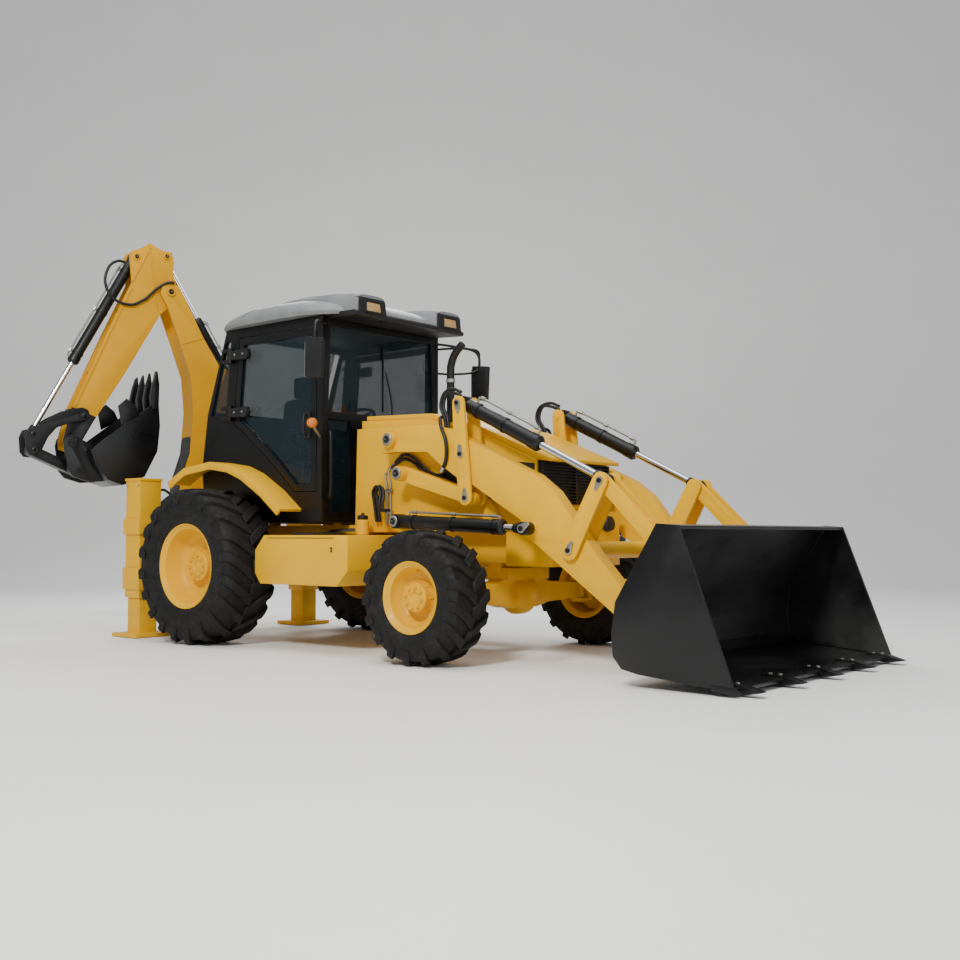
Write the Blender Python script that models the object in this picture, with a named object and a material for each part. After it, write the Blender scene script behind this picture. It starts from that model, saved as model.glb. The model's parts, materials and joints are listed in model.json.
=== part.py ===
"""Backhoe loader: a wheeled tractor with a front loader and a rear digging arm.

Metres, +X to the loader bucket, +Y to the machine's left, +Z up, ground at Z = 0.  The drawing
frame has the rear axle at X = 0; the whole model is moved at the end, so that its origin is the
middle of its footprint.  The digging arm is drawn in a frame of its own: +X away from the
kingpin, +Z up, and it is turned about the kingpin to where it is parked.
"""
import math

import bmesh
import bpy
from mathutils import Matrix, Vector
from mathutils.geometry import tessellate_polygon

# ---- driving dimensions --------------------------------------------------------------------
TOUCH = 0.0003                 # gap between pieces that rest on each other
RUN = 0.0005                   # radial gap of a pin in its bore
DOOR_GAP = 0.007               # slot round a door leaf

WHEELBASE = 2.381
REAR_TYRE_RADIUS, REAR_TYRE_WIDTH, REAR_RIM_RADIUS, REAR_TRACK = 0.610, 0.470, 0.328, 1.900
FRONT_TYRE_RADIUS, FRONT_TYRE_WIDTH, FRONT_RIM_RADIUS, FRONT_TRACK = 0.445, 0.350, 0.235, 1.970
WHEEL_SIDES = 24               # flats round a wheel
PIN_SIDES = 12                 # flats round a pin and its bore

RAIL_IN, RAIL_OUT = 0.260, 0.340
TOWER_IN, TOWER_OUT = 0.440, 0.470
SHELF_TOP = 0.895
RAIL_TOP_REAR, RAIL_TOP_FRONT = 0.930, 0.900

LINK_Y = 0.580                 # middle of each loader linkage
ARM_THICK = 0.100
PLATE_IN, PLATE_OUT = 0.065, 0.085      # straddling plates, measured from LINK_Y
PIN_END = 0.091
LINK_THICK = 0.060
ARM_PIVOT = (1.722, 1.540)
LOWER_LINK_PIVOT = (1.816, 1.293)
LEVER_PIVOT = (2.416, 1.405)
LEVER_TOP = (2.388, 1.757)
LEVER_LOW = (2.453, 1.105)
CRANK_PIVOT = (3.315, 0.755)
CRANK_TOP = (3.549, 1.191)
BUCKET_PIVOT = (3.810, 0.310)
BUCKET_EAR = (4.000, 0.750)
PIN_RADIUS = 0.030

LIFT_Y = 0.702                 # middle of each lift cylinder
LIFT_REAR = (1.872, 0.950)
LIFT_FRONT = (3.000, 0.895)

BUCKET_HALF = 1.118
BUCKET_PLATE = 0.018
TOOTH_COUNT, TOOTH_WIDTH = 5, 0.075

CAB_HALF, CAB_WALL = 0.660, 0.035
CAB_FLOOR, CAB_TOP = 0.9503, 2.535
CAB_FRONT = 1.020
DOOR_AXIS_X, DOOR_AXIS_OUT = -0.060, 0.027

BONNET_HALF, BONNET_SKIN = 0.430, 0.025

KINGPIN_X, KINGPIN_Y = -1.450, 0.150
SWING = 75.0                   # how far the parked arm is swung to the right
CARRIAGE_FACE = -1.0554
FRAME_REAR = -1.055
LEG_X, LEG_Y, LEG_HALF = -0.930, 0.900, 0.085
SLEEVE_HALF, SLEEVE_WALL, SLEEVE_LOW, SLEEVE_TOP = 0.102, 0.0165, 0.330, 1.330

BOOM_PIVOT = (0.250, 0.950)
DIPPER_PIVOT = (0.425, 3.096)
HOE_PIVOT = (1.300, 1.660)
IDLER_PIVOT = (1.200, 1.900)
ROD_EYE = (1.630, 1.720)
H_LINK_PIVOT = (1.620, 1.585)
HOE_LINK_PIN = (1.229, 1.415)
BOOM_CYL_LOW, BOOM_CYL_TOP = (-0.070, 1.180), (-0.030, 2.130)
DIPPER_CYL_LOW, DIPPER_CYL_TOP = (-0.230, 2.300), (0.454, 3.430)
HOE_CYL_TOP = (0.736, 3.390)
BOOM_IN, BOOM_OUT = 0.100, 0.125
DIPPER_HALF, DIPPER_PLATE = 0.090, 0.022
HOE_HALF, HOE_SKIN = 0.300, 0.018

COLOURS = {                    # linear colour, roughness, metallic
    "yellow_paint": ((0.90, 0.48, 0.015), 0.38, 0.0),
    "black_paint": ((0.012, 0.012, 0.013), 0.42, 0.0),
    "tyre_rubber": ((0.020, 0.019, 0.018), 0.85, 0.0),
    "chrome_rod": ((0.75, 0.76, 0.78), 0.15, 1.0),
    "grey_roof": ((0.36, 0.37, 0.38), 0.55, 0.0),
    "black_trim": ((0.018, 0.018, 0.020), 0.60, 0.0),
    "cast_iron": ((0.10, 0.075, 0.02), 0.60, 0.3),
}


# ---- scene helpers -------------------------------------------------------------------------
def clear_scene():
    for obj in list(bpy.data.objects):
        bpy.data.objects.remove(obj, do_unlink=True)


def finish(name):
    """The Principled material called name."""
    material = bpy.data.materials.get(name)
    if material:
        return material
    colour, roughness, metallic = COLOURS[name]
    material = bpy.data.materials.new(name)
    material.use_nodes = True
    shader = material.node_tree.nodes["Principled BSDF"]
    shader.inputs["Base Color"].default_value = (*colour, 1.0)
    shader.inputs["Roughness"].default_value = roughness
    shader.inputs["Metallic"].default_value = metallic
    material.diffuse_color = (*colour, 1.0)
    return material


class Body:
    """An empty on a joint's axis; what moves with the joint is parented to it."""

    def __init__(self, name, parent=None, at=(0, 0, 0), turn=0.0, drawn_at=None):
        self.at = Vector(at if drawn_at is None else drawn_at)
        self.empty = bpy.data.objects.new("axis_" + name, None)
        bpy.context.scene.collection.objects.link(self.empty)
        start = Vector(at)
        if parent:
            self.empty.parent = parent.empty
            start = start - parent.at
        self.empty.location = start
        self.empty.rotation_euler = (0.0, 0.0, math.radians(turn))


def add(name, shape, body, material):
    """Turn a closed shape into the sub-part called name, carried by body."""
    shape.transform(Matrix.Translation(-body.at))
    mesh = bpy.data.meshes.new(name)
    shape.to_mesh(mesh)
    shape.free()
    mesh.materials.append(finish(material))
    mesh.shade_smooth()
    mesh.set_sharp_from_angle(angle=math.radians(35))
    obj = bpy.data.objects.new(name, mesh)
    bpy.context.scene.collection.objects.link(obj)
    obj.parent = body.empty
    return obj


# ---- shapes --------------------------------------------------------------------------------
def circle(centre, radius, sides=PIN_SIDES, first=0.5):
    """Points round a circle, with a flat at its lowest point."""
    step = 2 * math.pi / sides
    angles = [(k + first) * step - math.pi / 2 for k in range(sides)]
    return [(centre[0] + radius * math.cos(a), centre[1] + radius * math.sin(a)) for a in angles]


def bore(centre, radius, turned_by=0.0):
    """A hole that a pin of this radius, turned by this many degrees, turns in without touching."""
    first = turned_by * PIN_SIDES / 360
    return circle(centre, radius / math.cos(math.pi / PIN_SIDES) + RUN, PIN_SIDES, first)


def capsule(start, end, start_radius, end_radius=None, sides=6):
    """Outline of a link with round ends."""
    end_radius = start_radius if end_radius is None else end_radius
    heading = math.atan2(end[1] - start[1], end[0] - start[0])
    points = []
    for centre, radius, first in ((end, end_radius, -0.5), (start, start_radius, 0.5)):
        for k in range(sides + 1):
            angle = heading + math.pi * (first + k / sides)
            points.append((centre[0] + radius * math.cos(angle), centre[1] + radius * math.sin(angle)))
    return points


def area(outline):
    pairs = zip(outline, outline[1:] + outline[:1])
    return sum(a[0] * b[1] - b[0] * a[1] for a, b in pairs) / 2


def shift_lines(points, distance, closed):
    """Each point moved to where its two edges meet after moving left by distance."""
    count = len(points)
    edges = []
    for k in range(count if closed else count - 1):
        a, b = Vector(points[k]), Vector(points[(k + 1) % count])
        along = (b - a).normalized()
        edges.append((a + Vector((-along.y, along.x)) * distance, along))
    moved = []
    for k in range(count):
        if not closed and k == 0:
            moved.append(tuple(edges[0][0]))
            continue
        if not closed and k == count - 1:
            last, along = edges[-1]
            length = (Vector(points[-1]) - Vector(points[-2])).length
            moved.append(tuple(last + along * length))
            continue
        (a, u), (b, v) = edges[k - 1], edges[k % len(edges)]
        cross = u.x * v.y - u.y * v.x
        if abs(cross) < 1e-6:
            moved.append(tuple(b))
            continue
        reach = ((b - a).x * v.y - (b - a).y * v.x) / cross
        moved.append(tuple(a + u * reach))
    return moved


def grow(outline, distance):
    """The outline moved outwards by distance (inwards if negative)."""
    return shift_lines(outline, -distance if area(outline) > 0 else distance, True)


def ribbon(path, thickness):
    """Outline of a strip that follows path on its left side."""
    return list(path) + shift_lines(path, thickness, False)[::-1]


def slab(outline, low, high, holes=(), axis="Y"):
    """A plate: an outline across axis, with holes, from low to high along axis."""
    place = {"X": lambda a, b, c: (c, a, b), "Y": lambda a, b, c: (a, c, b),
             "Z": lambda a, b, c: (a, b, c)}[axis]
    loops = [list(outline)] + [list(hole) for hole in holes]
    shape = bmesh.new()
    rows = [[shape.verts.new(place(a, b, level)) for loop in loops for a, b in loop]
            for level in (low, high)]
    flat = [[Vector((a, b, 0.0)) for a, b in loop] for loop in loops]
    for triangle in tessellate_polygon(flat):
        for row in rows:
            shape.faces.new([row[k] for k in triangle])
    start = 0
    for loop in loops:
        for k in range(len(loop)):
            a, b = start + k, start + (k + 1) % len(loop)
            shape.faces.new([rows[0][a], rows[0][b], rows[1][b], rows[1][a]])
        start += len(loop)
    bmesh.ops.recalc_face_normals(shape, faces=shape.faces)
    return shape


def box(x, y, z):
    return slab([(x[0], y[0]), (x[1], y[0]), (x[1], y[1]), (x[0], y[1])], z[0], z[1], axis="Z")


def rod(start, end, radius, sides=PIN_SIDES):
    """A round bar from start to end."""
    start, end = Vector(start), Vector(end)
    shape = slab(circle((0, 0), radius, sides), 0.0, (end - start).length, axis="Z")
    turn = (end - start).to_track_quat("Z", "Y").to_matrix().to_4x4()
    shape.transform(Matrix.Translation(start) @ turn)
    return shape


def turned(profile, sides=WHEEL_SIDES):
    """A closed profile of (radius, along Y) turned about Y; a point at radius 0 is a pole."""
    shape = bmesh.new()
    step = 2 * math.pi / sides
    rings = []
    for radius, along in profile:
        if radius < 1e-9:
            rings.append([shape.verts.new((0.0, along, 0.0))] * sides)
            continue
        radius = radius / math.cos(step / 2)
        angles = [(k + 0.5) * step - math.pi / 2 for k in range(sides)]
        rings.append([shape.verts.new((radius * math.cos(a), along, radius * math.sin(a)))
                      for a in angles])
    for ring, after in zip(rings, rings[1:] + rings[:1]):
        if ring[0] is ring[1] and after[0] is after[1]:
            continue
        for k in range(sides):
            n = (k + 1) % sides
            corners = list(dict.fromkeys((ring[k], ring[n], after[n], after[k])))
            shape.faces.new(corners)
    bmesh.ops.recalc_face_normals(shape, faces=shape.faces)
    return shape


def pipe(points, radius, sides=12):
    """A round bar swept along a path that lies in one XZ plane."""
    shape = bmesh.new()
    points = [Vector(p) for p in points]
    rings = []
    for k, point in enumerate(points):
        along = (points[min(k + 1, len(points) - 1)] - points[max(k - 1, 0)]).normalized()
        side = Vector((0, 1, 0))
        up = along.cross(side)
        rings.append([shape.verts.new(point + side * a + up * b)
                      for a, b in circle((0, 0), radius, sides)])
    for ring, after in zip(rings, rings[1:]):
        for k in range(sides):
            n = (k + 1) % sides
            shape.faces.new([ring[k], ring[n], after[n], after[k]])
    shape.faces.new(rings[0])
    shape.faces.new(rings[-1])
    bmesh.ops.recalc_face_normals(shape, faces=shape.faces)
    return shape


def stack(layers):
    """A closed skin over layers of the same number of points, lowest first."""
    shape = bmesh.new()
    rows = [[shape.verts.new(p) for p in layer] for layer in layers]
    for row, after in zip(rows, rows[1:]):
        for k in range(len(row)):
            n = (k + 1) % len(row)
            shape.faces.new([row[k], row[n], after[n], after[k]])
    shape.faces.new(rows[0])
    shape.faces.new(rows[-1])
    bmesh.ops.recalc_face_normals(shape, faces=shape.faces)
    return shape


def moved(shape, by):
    shape.transform(Matrix.Translation(by))
    return shape


def mirrored(shape):
    """The same shape on the other side of the machine."""
    copy = shape.copy()
    copy.transform(Matrix.Scale(-1, 4, (0, 1, 0)))
    bmesh.ops.reverse_faces(copy, faces=copy.faces)
    return copy


def combine(operation, first, others):
    """Boolean of closed shapes, worked out on throw-away objects."""
    things = []
    for shape in [first] + list(others):
        mesh = bpy.data.meshes.new("blank")
        shape.to_mesh(mesh)
        shape.free()
        thing = bpy.data.objects.new("blank", mesh)
        bpy.context.scene.collection.objects.link(thing)
        things.append(thing)
    for tool in things[1:]:
        step = things[0].modifiers.new("combine", "BOOLEAN")
        step.operation = operation
        step.solver = "EXACT"
        step.object = tool
    graph = bpy.context.evaluated_depsgraph_get()
    mesh = bpy.data.meshes.new_from_object(things[0].evaluated_get(graph))
    result = bmesh.new()
    result.from_mesh(mesh)
    for thing in things:
        bpy.data.objects.remove(thing, do_unlink=True)
    bmesh.ops.remove_doubles(result, verts=result.verts, dist=1e-6)
    bmesh.ops.dissolve_degenerate(result, edges=result.edges, dist=1e-6)
    bmesh.ops.dissolve_limit(result, angle_limit=0.0002, verts=result.verts, edges=result.edges)
    return result


def fuse(first, *others):
    return combine("UNION", first, others)


def both_sides(shapes):
    """The shapes of the left side, and their mirror images."""
    shapes = list(shapes)
    return shapes + [mirrored(shape) for shape in shapes]


# ---- chassis -------------------------------------------------------------------------------
RAIL = [(-1.00, 0.70), (-0.45, 0.70), (-0.30, 0.80), (0.30, 0.80), (0.50, 0.62), (2.10, 0.62),
        (2.20, 0.66), (2.95, 0.66), (2.95, RAIL_TOP_FRONT), (1.20, RAIL_TOP_FRONT),
        (1.15, RAIL_TOP_REAR), (-1.00, RAIL_TOP_REAR)]
TOWER = [(1.19, 0.875), (2.62, 0.875), (2.55, 1.05), (2.26, 1.28), (2.24, 1.60), (2.20, 1.655),
         (1.21, 1.655)]


def sleeve(half, wall, low, high):
    """Square tube that a stabiliser leg slides in."""
    outer = [(LEG_X - half, LEG_Y - half), (LEG_X + half, LEG_Y - half),
             (LEG_X + half, LEG_Y + half), (LEG_X - half, LEG_Y + half)]
    return slab(outer, low, high, [grow(outer, -wall)], axis="Z")


def make_chassis(root):
    pin_reach = LINK_Y + PIN_END
    left = [
        slab(RAIL, RAIL_IN, RAIL_OUT),
        slab(TOWER, TOWER_IN, TOWER_OUT),
        box((1.25, 2.60), (0.30, 0.45), (0.872, SHELF_TOP)),
        box((0.02, 0.10), (0.27, 0.33), (0.92, CAB_FLOOR - TOUCH)),
        box((0.80, 0.88), (0.27, 0.33), (0.92, CAB_FLOOR - TOUCH)),
        sleeve(SLEEVE_HALF, SLEEVE_WALL, SLEEVE_LOW, SLEEVE_TOP - 0.01),
        sleeve(SLEEVE_HALF + 0.016, 0.028, 0.86, 0.99),
        sleeve(SLEEVE_HALF + 0.016, 0.028, 0.40, 0.58),
        box((LEG_X - 0.11, LEG_X + 0.11), (LEG_Y - 0.11, LEG_Y + 0.11), (SLEEVE_TOP - 0.02, SLEEVE_TOP)),
    ]
    for centre, radius, reach in ((ARM_PIVOT, 0.070, 0.528), (LOWER_LINK_PIVOT, 0.050, 0.548),
                                  (LIFT_REAR, 0.070, LIFT_Y - 0.050)):
        left.append(rod((centre[0], 0.455, centre[1]), (centre[0], reach, centre[1]), radius))
    for centre, reach in ((ARM_PIVOT, pin_reach), (LOWER_LINK_PIVOT, pin_reach),
                          (LIFT_REAR, LIFT_Y + 0.056)):
        left.append(rod((centre[0], 0.460, centre[1]), (centre[0], reach, centre[1]), PIN_RADIUS))
    middle = [
        box((2.60, 3.00), (-0.40, 0.40), (0.64, 1.02)),
        box((1.50, 1.62), (-0.30, 0.30), (0.66, 0.86)),
        box((0.62, 0.74), (-0.30, 0.30), (0.66, 0.86)),
        box((-1.005, -0.94), (-0.36, 0.36), (0.45, 1.08)),
        box((FRAME_REAR, -0.955), (-0.81, 0.81), (1.00, 1.10)),
        box((FRAME_REAR, -0.955), (-0.81, 0.81), (0.42, 0.52)),
    ]
    shapes = both_sides(left)
    add("chassis_frame", fuse(middle[0], *middle[1:], *shapes), root, "yellow_paint")


def make_engine_bay(root):
    add("engine_block", box((1.70, 2.50), (-0.30, 0.30), (RAIL_TOP_FRONT + TOUCH, 1.30)), root,
        "cast_iron")
    side = [(1.22, SHELF_TOP + TOUCH), (2.88, SHELF_TOP + TOUCH), (2.88, 1.36), (2.39, 1.575),
            (1.90, 1.70), (1.22, 1.72)]
    inner = BONNET_HALF - BONNET_SKIN
    panels = both_sides([slab(side, inner, BONNET_HALF)])
    wall = box((1.225, 1.245), (-0.42, 0.42), (0.96, 1.69))
    bar = box((2.83, 2.875), (-0.42, 0.42), (1.03, 1.065))
    add("bonnet_sides", fuse(wall, bar, *panels), root, "yellow_paint")
    grille = [(2.80, 1.065 + TOUCH), (2.90, 1.065 + TOUCH), (2.915, 1.345), (2.80, 1.38)]
    add("radiator_grille", slab(grille, TOUCH - inner, inner - TOUCH), root, "black_trim")
    stack_x, stack_y = 2.140, -(TOWER_IN + TOWER_OUT) / 2
    bend = [(stack_x, stack_y, 1.655 + TOUCH), (stack_x, stack_y, 2.02), (stack_x + 0.004, stack_y, 2.06),
            (stack_x + 0.022, stack_y, 2.11), (stack_x + 0.055, stack_y, 2.155),
            (stack_x + 0.115, stack_y, 2.205)]
    add("exhaust_stack", pipe(bend, 0.028), root, "black_trim")


BONNET_TOP = [(1.26, 1.7203), (1.90, 1.7003), (2.39, 1.5753), (2.88, 1.3603), (2.985, 1.345),
              (2.99, 1.370), (2.88, 1.415), (2.40, 1.610), (1.92, 1.735), (1.26, 1.755)]


def make_bonnet(root):
    lid = Body("bonnet", root, (1.26, 0.0, 1.738))
    add("bonnet", slab(BONNET_TOP, 0.008 - BONNET_HALF, BONNET_HALF - 0.008), lid, "yellow_paint")


def make_side_tanks(root):
    outline = [(0.66, 0.57), (0.72, 0.49), (1.55, 0.49), (1.66, 0.60), (1.66, 0.852), (0.76, 0.852),
               (0.66, 0.74)]
    left = slab(outline, RAIL_OUT + TOUCH, 1.000)
    add("fuel_tank", mirrored(left), root, "yellow_paint")
    add("hydraulic_tank", left, root, "yellow_paint")


def make_fenders(root):
    arc = [(-0.62, 1.29), (-0.40, 1.40), (-0.06, 1.44), (0.18, 1.405), (0.355, 1.340), (0.60, 1.200),
           (0.80, 1.050)]
    skin = slab(ribbon(arc, -0.024), CAB_HALF + TOUCH, 0.88)
    lip = slab(ribbon(arc, -0.060), 0.862, 0.885)
    left = fuse(skin, lip)
    add("fender_right", mirrored(left), root, "yellow_paint")
    add("fender_left", left, root, "yellow_paint")


# ---- wheels, axles and knuckles ------------------------------------------------------------
def tyre_profile(radius, width, rim, rim_width):
    half, bead = width / 2, rim_width / 2
    seat = rim - 0.030
    side = [(seat + TOUCH, bead - 0.032), (rim + 0.002, bead - 0.0135), (rim + 0.030, bead + 0.006),
            ((rim + radius) / 2, half), (radius - 0.045, half - 0.008), (radius - 0.008, half - 0.045),
            (radius, half - 0.075)]
    return side + [(r, -y) for r, y in side[::-1]]


def rim_profile(rim, rim_width, disc, hub_radius, hub_out):
    """Rim with a dished disc; disc is the disc's outer face along Y."""
    bead, seat, inside = rim_width / 2, rim - 0.030, rim - 0.044
    back = disc - 0.016
    return [(0.0, hub_out), (hub_radius * 0.8, hub_out), (hub_radius, hub_out - 0.02), (hub_radius, disc),
            (inside * 0.72, disc), (inside, disc + 0.045), (inside, bead - 0.03), (rim - 0.004, bead),
            (rim, bead), (rim, bead - 0.012), (seat, bead - 0.031), (seat, 0.031 - bead),
            (rim, 0.012 - bead), (rim, -bead), (rim - 0.004, -bead), (inside, 0.03 - bead),
            (inside, back + 0.040), (inside * 0.72, back), (0.0, back)]


FRONT_DISC, REAR_DISC = 0.020, 0.010
FRONT_RIM_WIDTH, REAR_RIM_WIDTH = 0.306, 0.406


def make_wheel(end, side, body, at, sizes):
    """A rim and its tyre; side is 1 on the left and -1 on the right."""
    radius, width, rim, rim_width, disc, hub_radius, hub_out = sizes
    tyre = turned(tyre_profile(radius, width, rim, rim_width))
    wheel = turned(rim_profile(rim, rim_width, disc, hub_radius, hub_out))
    shapes = {"tyre": tyre, "rim": wheel}
    word = "left" if side > 0 else "right"
    for piece, material in (("rim", "yellow_paint"), ("tyre", "tyre_rubber")):
        shape = shapes[piece] if side > 0 else mirrored(shapes[piece])
        add(f"{end}_{piece}_{word}", moved(shape, at), body, material)


def make_rear_axle(root):
    reach = REAR_TRACK / 2 + REAR_DISC - 0.016 - TOUCH
    height = REAR_TYRE_RADIUS
    half = [(0.185, 0.06), (0.12, 0.17), (0.095, 0.20), (0.095, 0.42), (0.150, 0.43), (0.150, 0.65),
            (0.095, 0.66), (0.095, reach), (0.0, reach)]
    housing = turned([(r, -y) for r, y in half[::-1]] + half, 20)
    pads = both_sides([box((-0.07, 0.07), (0.27, 0.33), (height + 0.03, 0.80 - TOUCH))])
    add("rear_axle", fuse(moved(housing, (0, 0, height)), *pads), root, "yellow_paint")
    for side, word in ((-1, "right"), (1, "left")):
        at = (0.0, side * REAR_TRACK / 2, height)
        wheel = Body("rear_wheel_" + word, root, at)
        sizes = (REAR_TYRE_RADIUS, REAR_TYRE_WIDTH, REAR_RIM_RADIUS, REAR_RIM_WIDTH, REAR_DISC, 0.110, 0.120)
        make_wheel("rear", side, wheel, at, sizes)


KING_Y = 0.760


def make_front_axle(root):
    height = FRONT_TYRE_RADIUS
    level = height - 0.010
    beam = [(-0.66, level - 0.06), (-0.30, level - 0.07), (-0.16, level - 0.10), (0.16, level - 0.10),
            (0.30, level - 0.07), (0.66, level - 0.06), (0.66, level + 0.06), (0.30, level + 0.08),
            (0.16, level + 0.13), (-0.16, level + 0.13), (-0.30, level + 0.08), (-0.66, level + 0.06)]
    centre_x = WHEELBASE
    parts = [slab(beam, centre_x - 0.065, centre_x + 0.065, axis="X"),
             moved(turned([(0.0, -0.13), (0.10, -0.11), (0.15, -0.03), (0.15, 0.05), (0.09, 0.13), (0.0, 0.14)], 20),
                   (centre_x, 0, level)),
             box((centre_x - 0.11, centre_x + 0.11), (-0.24, 0.24), (level + 0.10, 0.62)),
             box((centre_x - 0.05, centre_x + 0.05), (TOUCH - RAIL_IN, RAIL_IN - TOUCH), (0.60, 0.72))]
    for side in (-1, 1):
        end = slab(circle((centre_x, side * KING_Y), 0.052), level - 0.06 + 0.001, level + 0.06 - 0.001,
                   [bore((centre_x, side * KING_Y), 0.022)], axis="Z")
        neck = box((centre_x - 0.045, centre_x + 0.045),
                   sorted((side * 0.65, side * (KING_Y - 0.036))), (level - 0.052, level + 0.052))
        parts += [end, neck]
    add("front_axle", fuse(parts[0], *parts[1:]), root, "yellow_paint")
    for side, word in ((-1, "right"), (1, "left")):
        make_knuckle(root, side, word, level, height)


def make_knuckle(root, side, word, level, height):
    centre_x = WHEELBASE
    steer = Body("steer_" + word, root, (centre_x, side * KING_Y, height))
    out = FRONT_TRACK / 2 + FRONT_DISC - 0.016 - TOUCH
    plates = [slab(capsule((centre_x, KING_Y), (centre_x, 0.84), 0.055, 0.055), low, low + 0.028, axis="Z")
              for low in (level + 0.065, level - 0.093)]
    wall = box((centre_x - 0.075, centre_x + 0.075), (0.835, 0.865), (level - 0.085, level + 0.085))
    pin = rod((centre_x, KING_Y, level - 0.085), (centre_x, KING_Y, level + 0.085), 0.022)
    hub = rod((centre_x, 0.85, height), (centre_x, out, height), 0.085, 20)
    left = fuse(wall, hub, pin, *plates)
    add("steering_knuckle_" + word, left if side > 0 else mirrored(left), steer, "yellow_paint")
    at = (centre_x, side * FRONT_TRACK / 2, height)
    wheel = Body("front_wheel_" + word, steer, at)
    sizes = (FRONT_TYRE_RADIUS, FRONT_TYRE_WIDTH, FRONT_RIM_RADIUS, FRONT_RIM_WIDTH, FRONT_DISC, 0.085, 0.125)
    make_wheel("front", side, wheel, at, sizes)


# ---- cab -----------------------------------------------------------------------------------
CAB_SIDE = [(-0.40, 0.96), (CAB_FRONT, 0.96), (CAB_FRONT, CAB_TOP), (-0.14, CAB_TOP), (-0.38, 1.86),
            (-0.45, 1.40)]
DOOR = [(0.955, 1.19), (0.955, 2.45), (0.035, 2.45), (-0.03, 1.76), (0.17, 1.63), (0.33, 1.51), (0.49, 1.385),
        (0.61, 1.28), (0.71, 1.19)]
QUARTER = [(-0.150, 2.44), (-0.080, 2.44), (-0.140, 1.84), (-0.335, 1.84)]
HINGE_LEVELS = (1.845, 2.315)


def make_cab(root):
    inner = CAB_HALF - CAB_WALL
    side = slab(CAB_SIDE, inner, CAB_HALF, [grow(DOOR, DOOR_GAP), QUARTER])
    shapes = both_sides([side] + [hinge_lug(level, sign) for level in HINGE_LEVELS for sign in (-1, 1)])
    front = slab([(-0.64, 0.97), (0.64, 0.97), (0.64, CAB_TOP - 0.005), (-0.64, CAB_TOP - 0.005)],
                 CAB_FRONT - 0.035, CAB_FRONT - 0.002,
                 [[(-0.595, 1.80), (0.595, 1.80), (0.570, 2.46), (-0.570, 2.46)],
                  [(-0.595, 1.03), (-0.36, 1.03), (-0.36, 1.74), (-0.595, 1.74)],
                  [(0.36, 1.03), (0.595, 1.03), (0.595, 1.74), (0.36, 1.74)]], axis="X")
    back = [(-0.395, 0.965), (-0.365, 0.965), (-0.415, 1.40), (-0.345, 1.88), (-0.378, 1.88), (-0.446, 1.40)]
    floor = box((-0.38, 1.01), (-0.64, 0.64), (CAB_FLOOR, 1.00))
    header = box((-0.135, -0.090), (-0.64, 0.64), (2.48, CAB_TOP - 0.005))
    add("cab_frame", fuse(floor, *shapes, front, slab(back, -0.64, 0.64), header), root, "black_trim")


def hinge_lug(level, sign):
    """Half of a door hinge that stays on the cab: a knuckle above or below the door's own."""
    middle = level + sign * 0.045
    out = CAB_HALF + DOOR_AXIS_OUT
    knuckle = rod((DOOR_AXIS_X, out, middle - 0.018), (DOOR_AXIS_X, out, middle + 0.018), 0.022, 12)
    arm = box((DOOR_AXIS_X - 0.09, DOOR_AXIS_X), (CAB_HALF - 0.01, out + 0.012), (middle - 0.014, middle + 0.014))
    return fuse(knuckle, arm)


def make_doors(root):
    leaf = grow(DOOR, 0.0)
    for side, word in ((-1, "right"), (1, "left")):
        out = CAB_HALF + DOOR_AXIS_OUT
        body = Body("door_" + word, root, (DOOR_AXIS_X, side * out, 1.80))
        shapes = [slab(leaf, CAB_HALF - CAB_WALL, CAB_HALF, [grow(leaf, -0.055)])]
        for level in HINGE_LEVELS:
            shapes.append(rod((DOOR_AXIS_X, out, level - 0.0262), (DOOR_AXIS_X, out, level + 0.0262), 0.022, 12))
            shapes.append(box((DOOR_AXIS_X, 0.16), (CAB_HALF + 0.003, out + 0.010), (level - 0.022, level + 0.022)))
            shapes.append(box((0.02, 0.08), (CAB_HALF - 0.010, CAB_HALF + 0.01), (level - 0.020, level + 0.020)))
        left = fuse(shapes[0], *shapes[1:])
        add("cab_door_" + word, left if side > 0 else mirrored(left), body, "black_trim")


def make_roof(root):
    plan = [(-0.33, -0.58), (-0.24, -0.69), (0.90, -0.74), (1.22, -0.62), (1.36, -0.46), (1.36, 0.46),
            (1.22, 0.62), (0.90, 0.74), (-0.24, 0.69), (-0.33, 0.58)]
    layers = []
    for inset, level, drop in ((0.03, CAB_TOP + TOUCH, 0.0), (0.0, 2.575, 0.0), (0.02, 2.640, 0.5),
                               (0.10, 2.705, 0.8), (0.24, 2.740, 1.0)):
        layer = grow(plan, -inset) if inset else plan
        layers.append([(x, y, level - drop * 0.06 * max(0.0, (abs(x - 0.35) - 0.25) / 0.75) ** 2)
                       for x, y in layer])
    visor = box((1.06, 1.345), (-0.44, 0.44), (2.500, 2.600))
    add("cab_roof", fuse(stack(layers), visor), root, "grey_roof")


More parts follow.
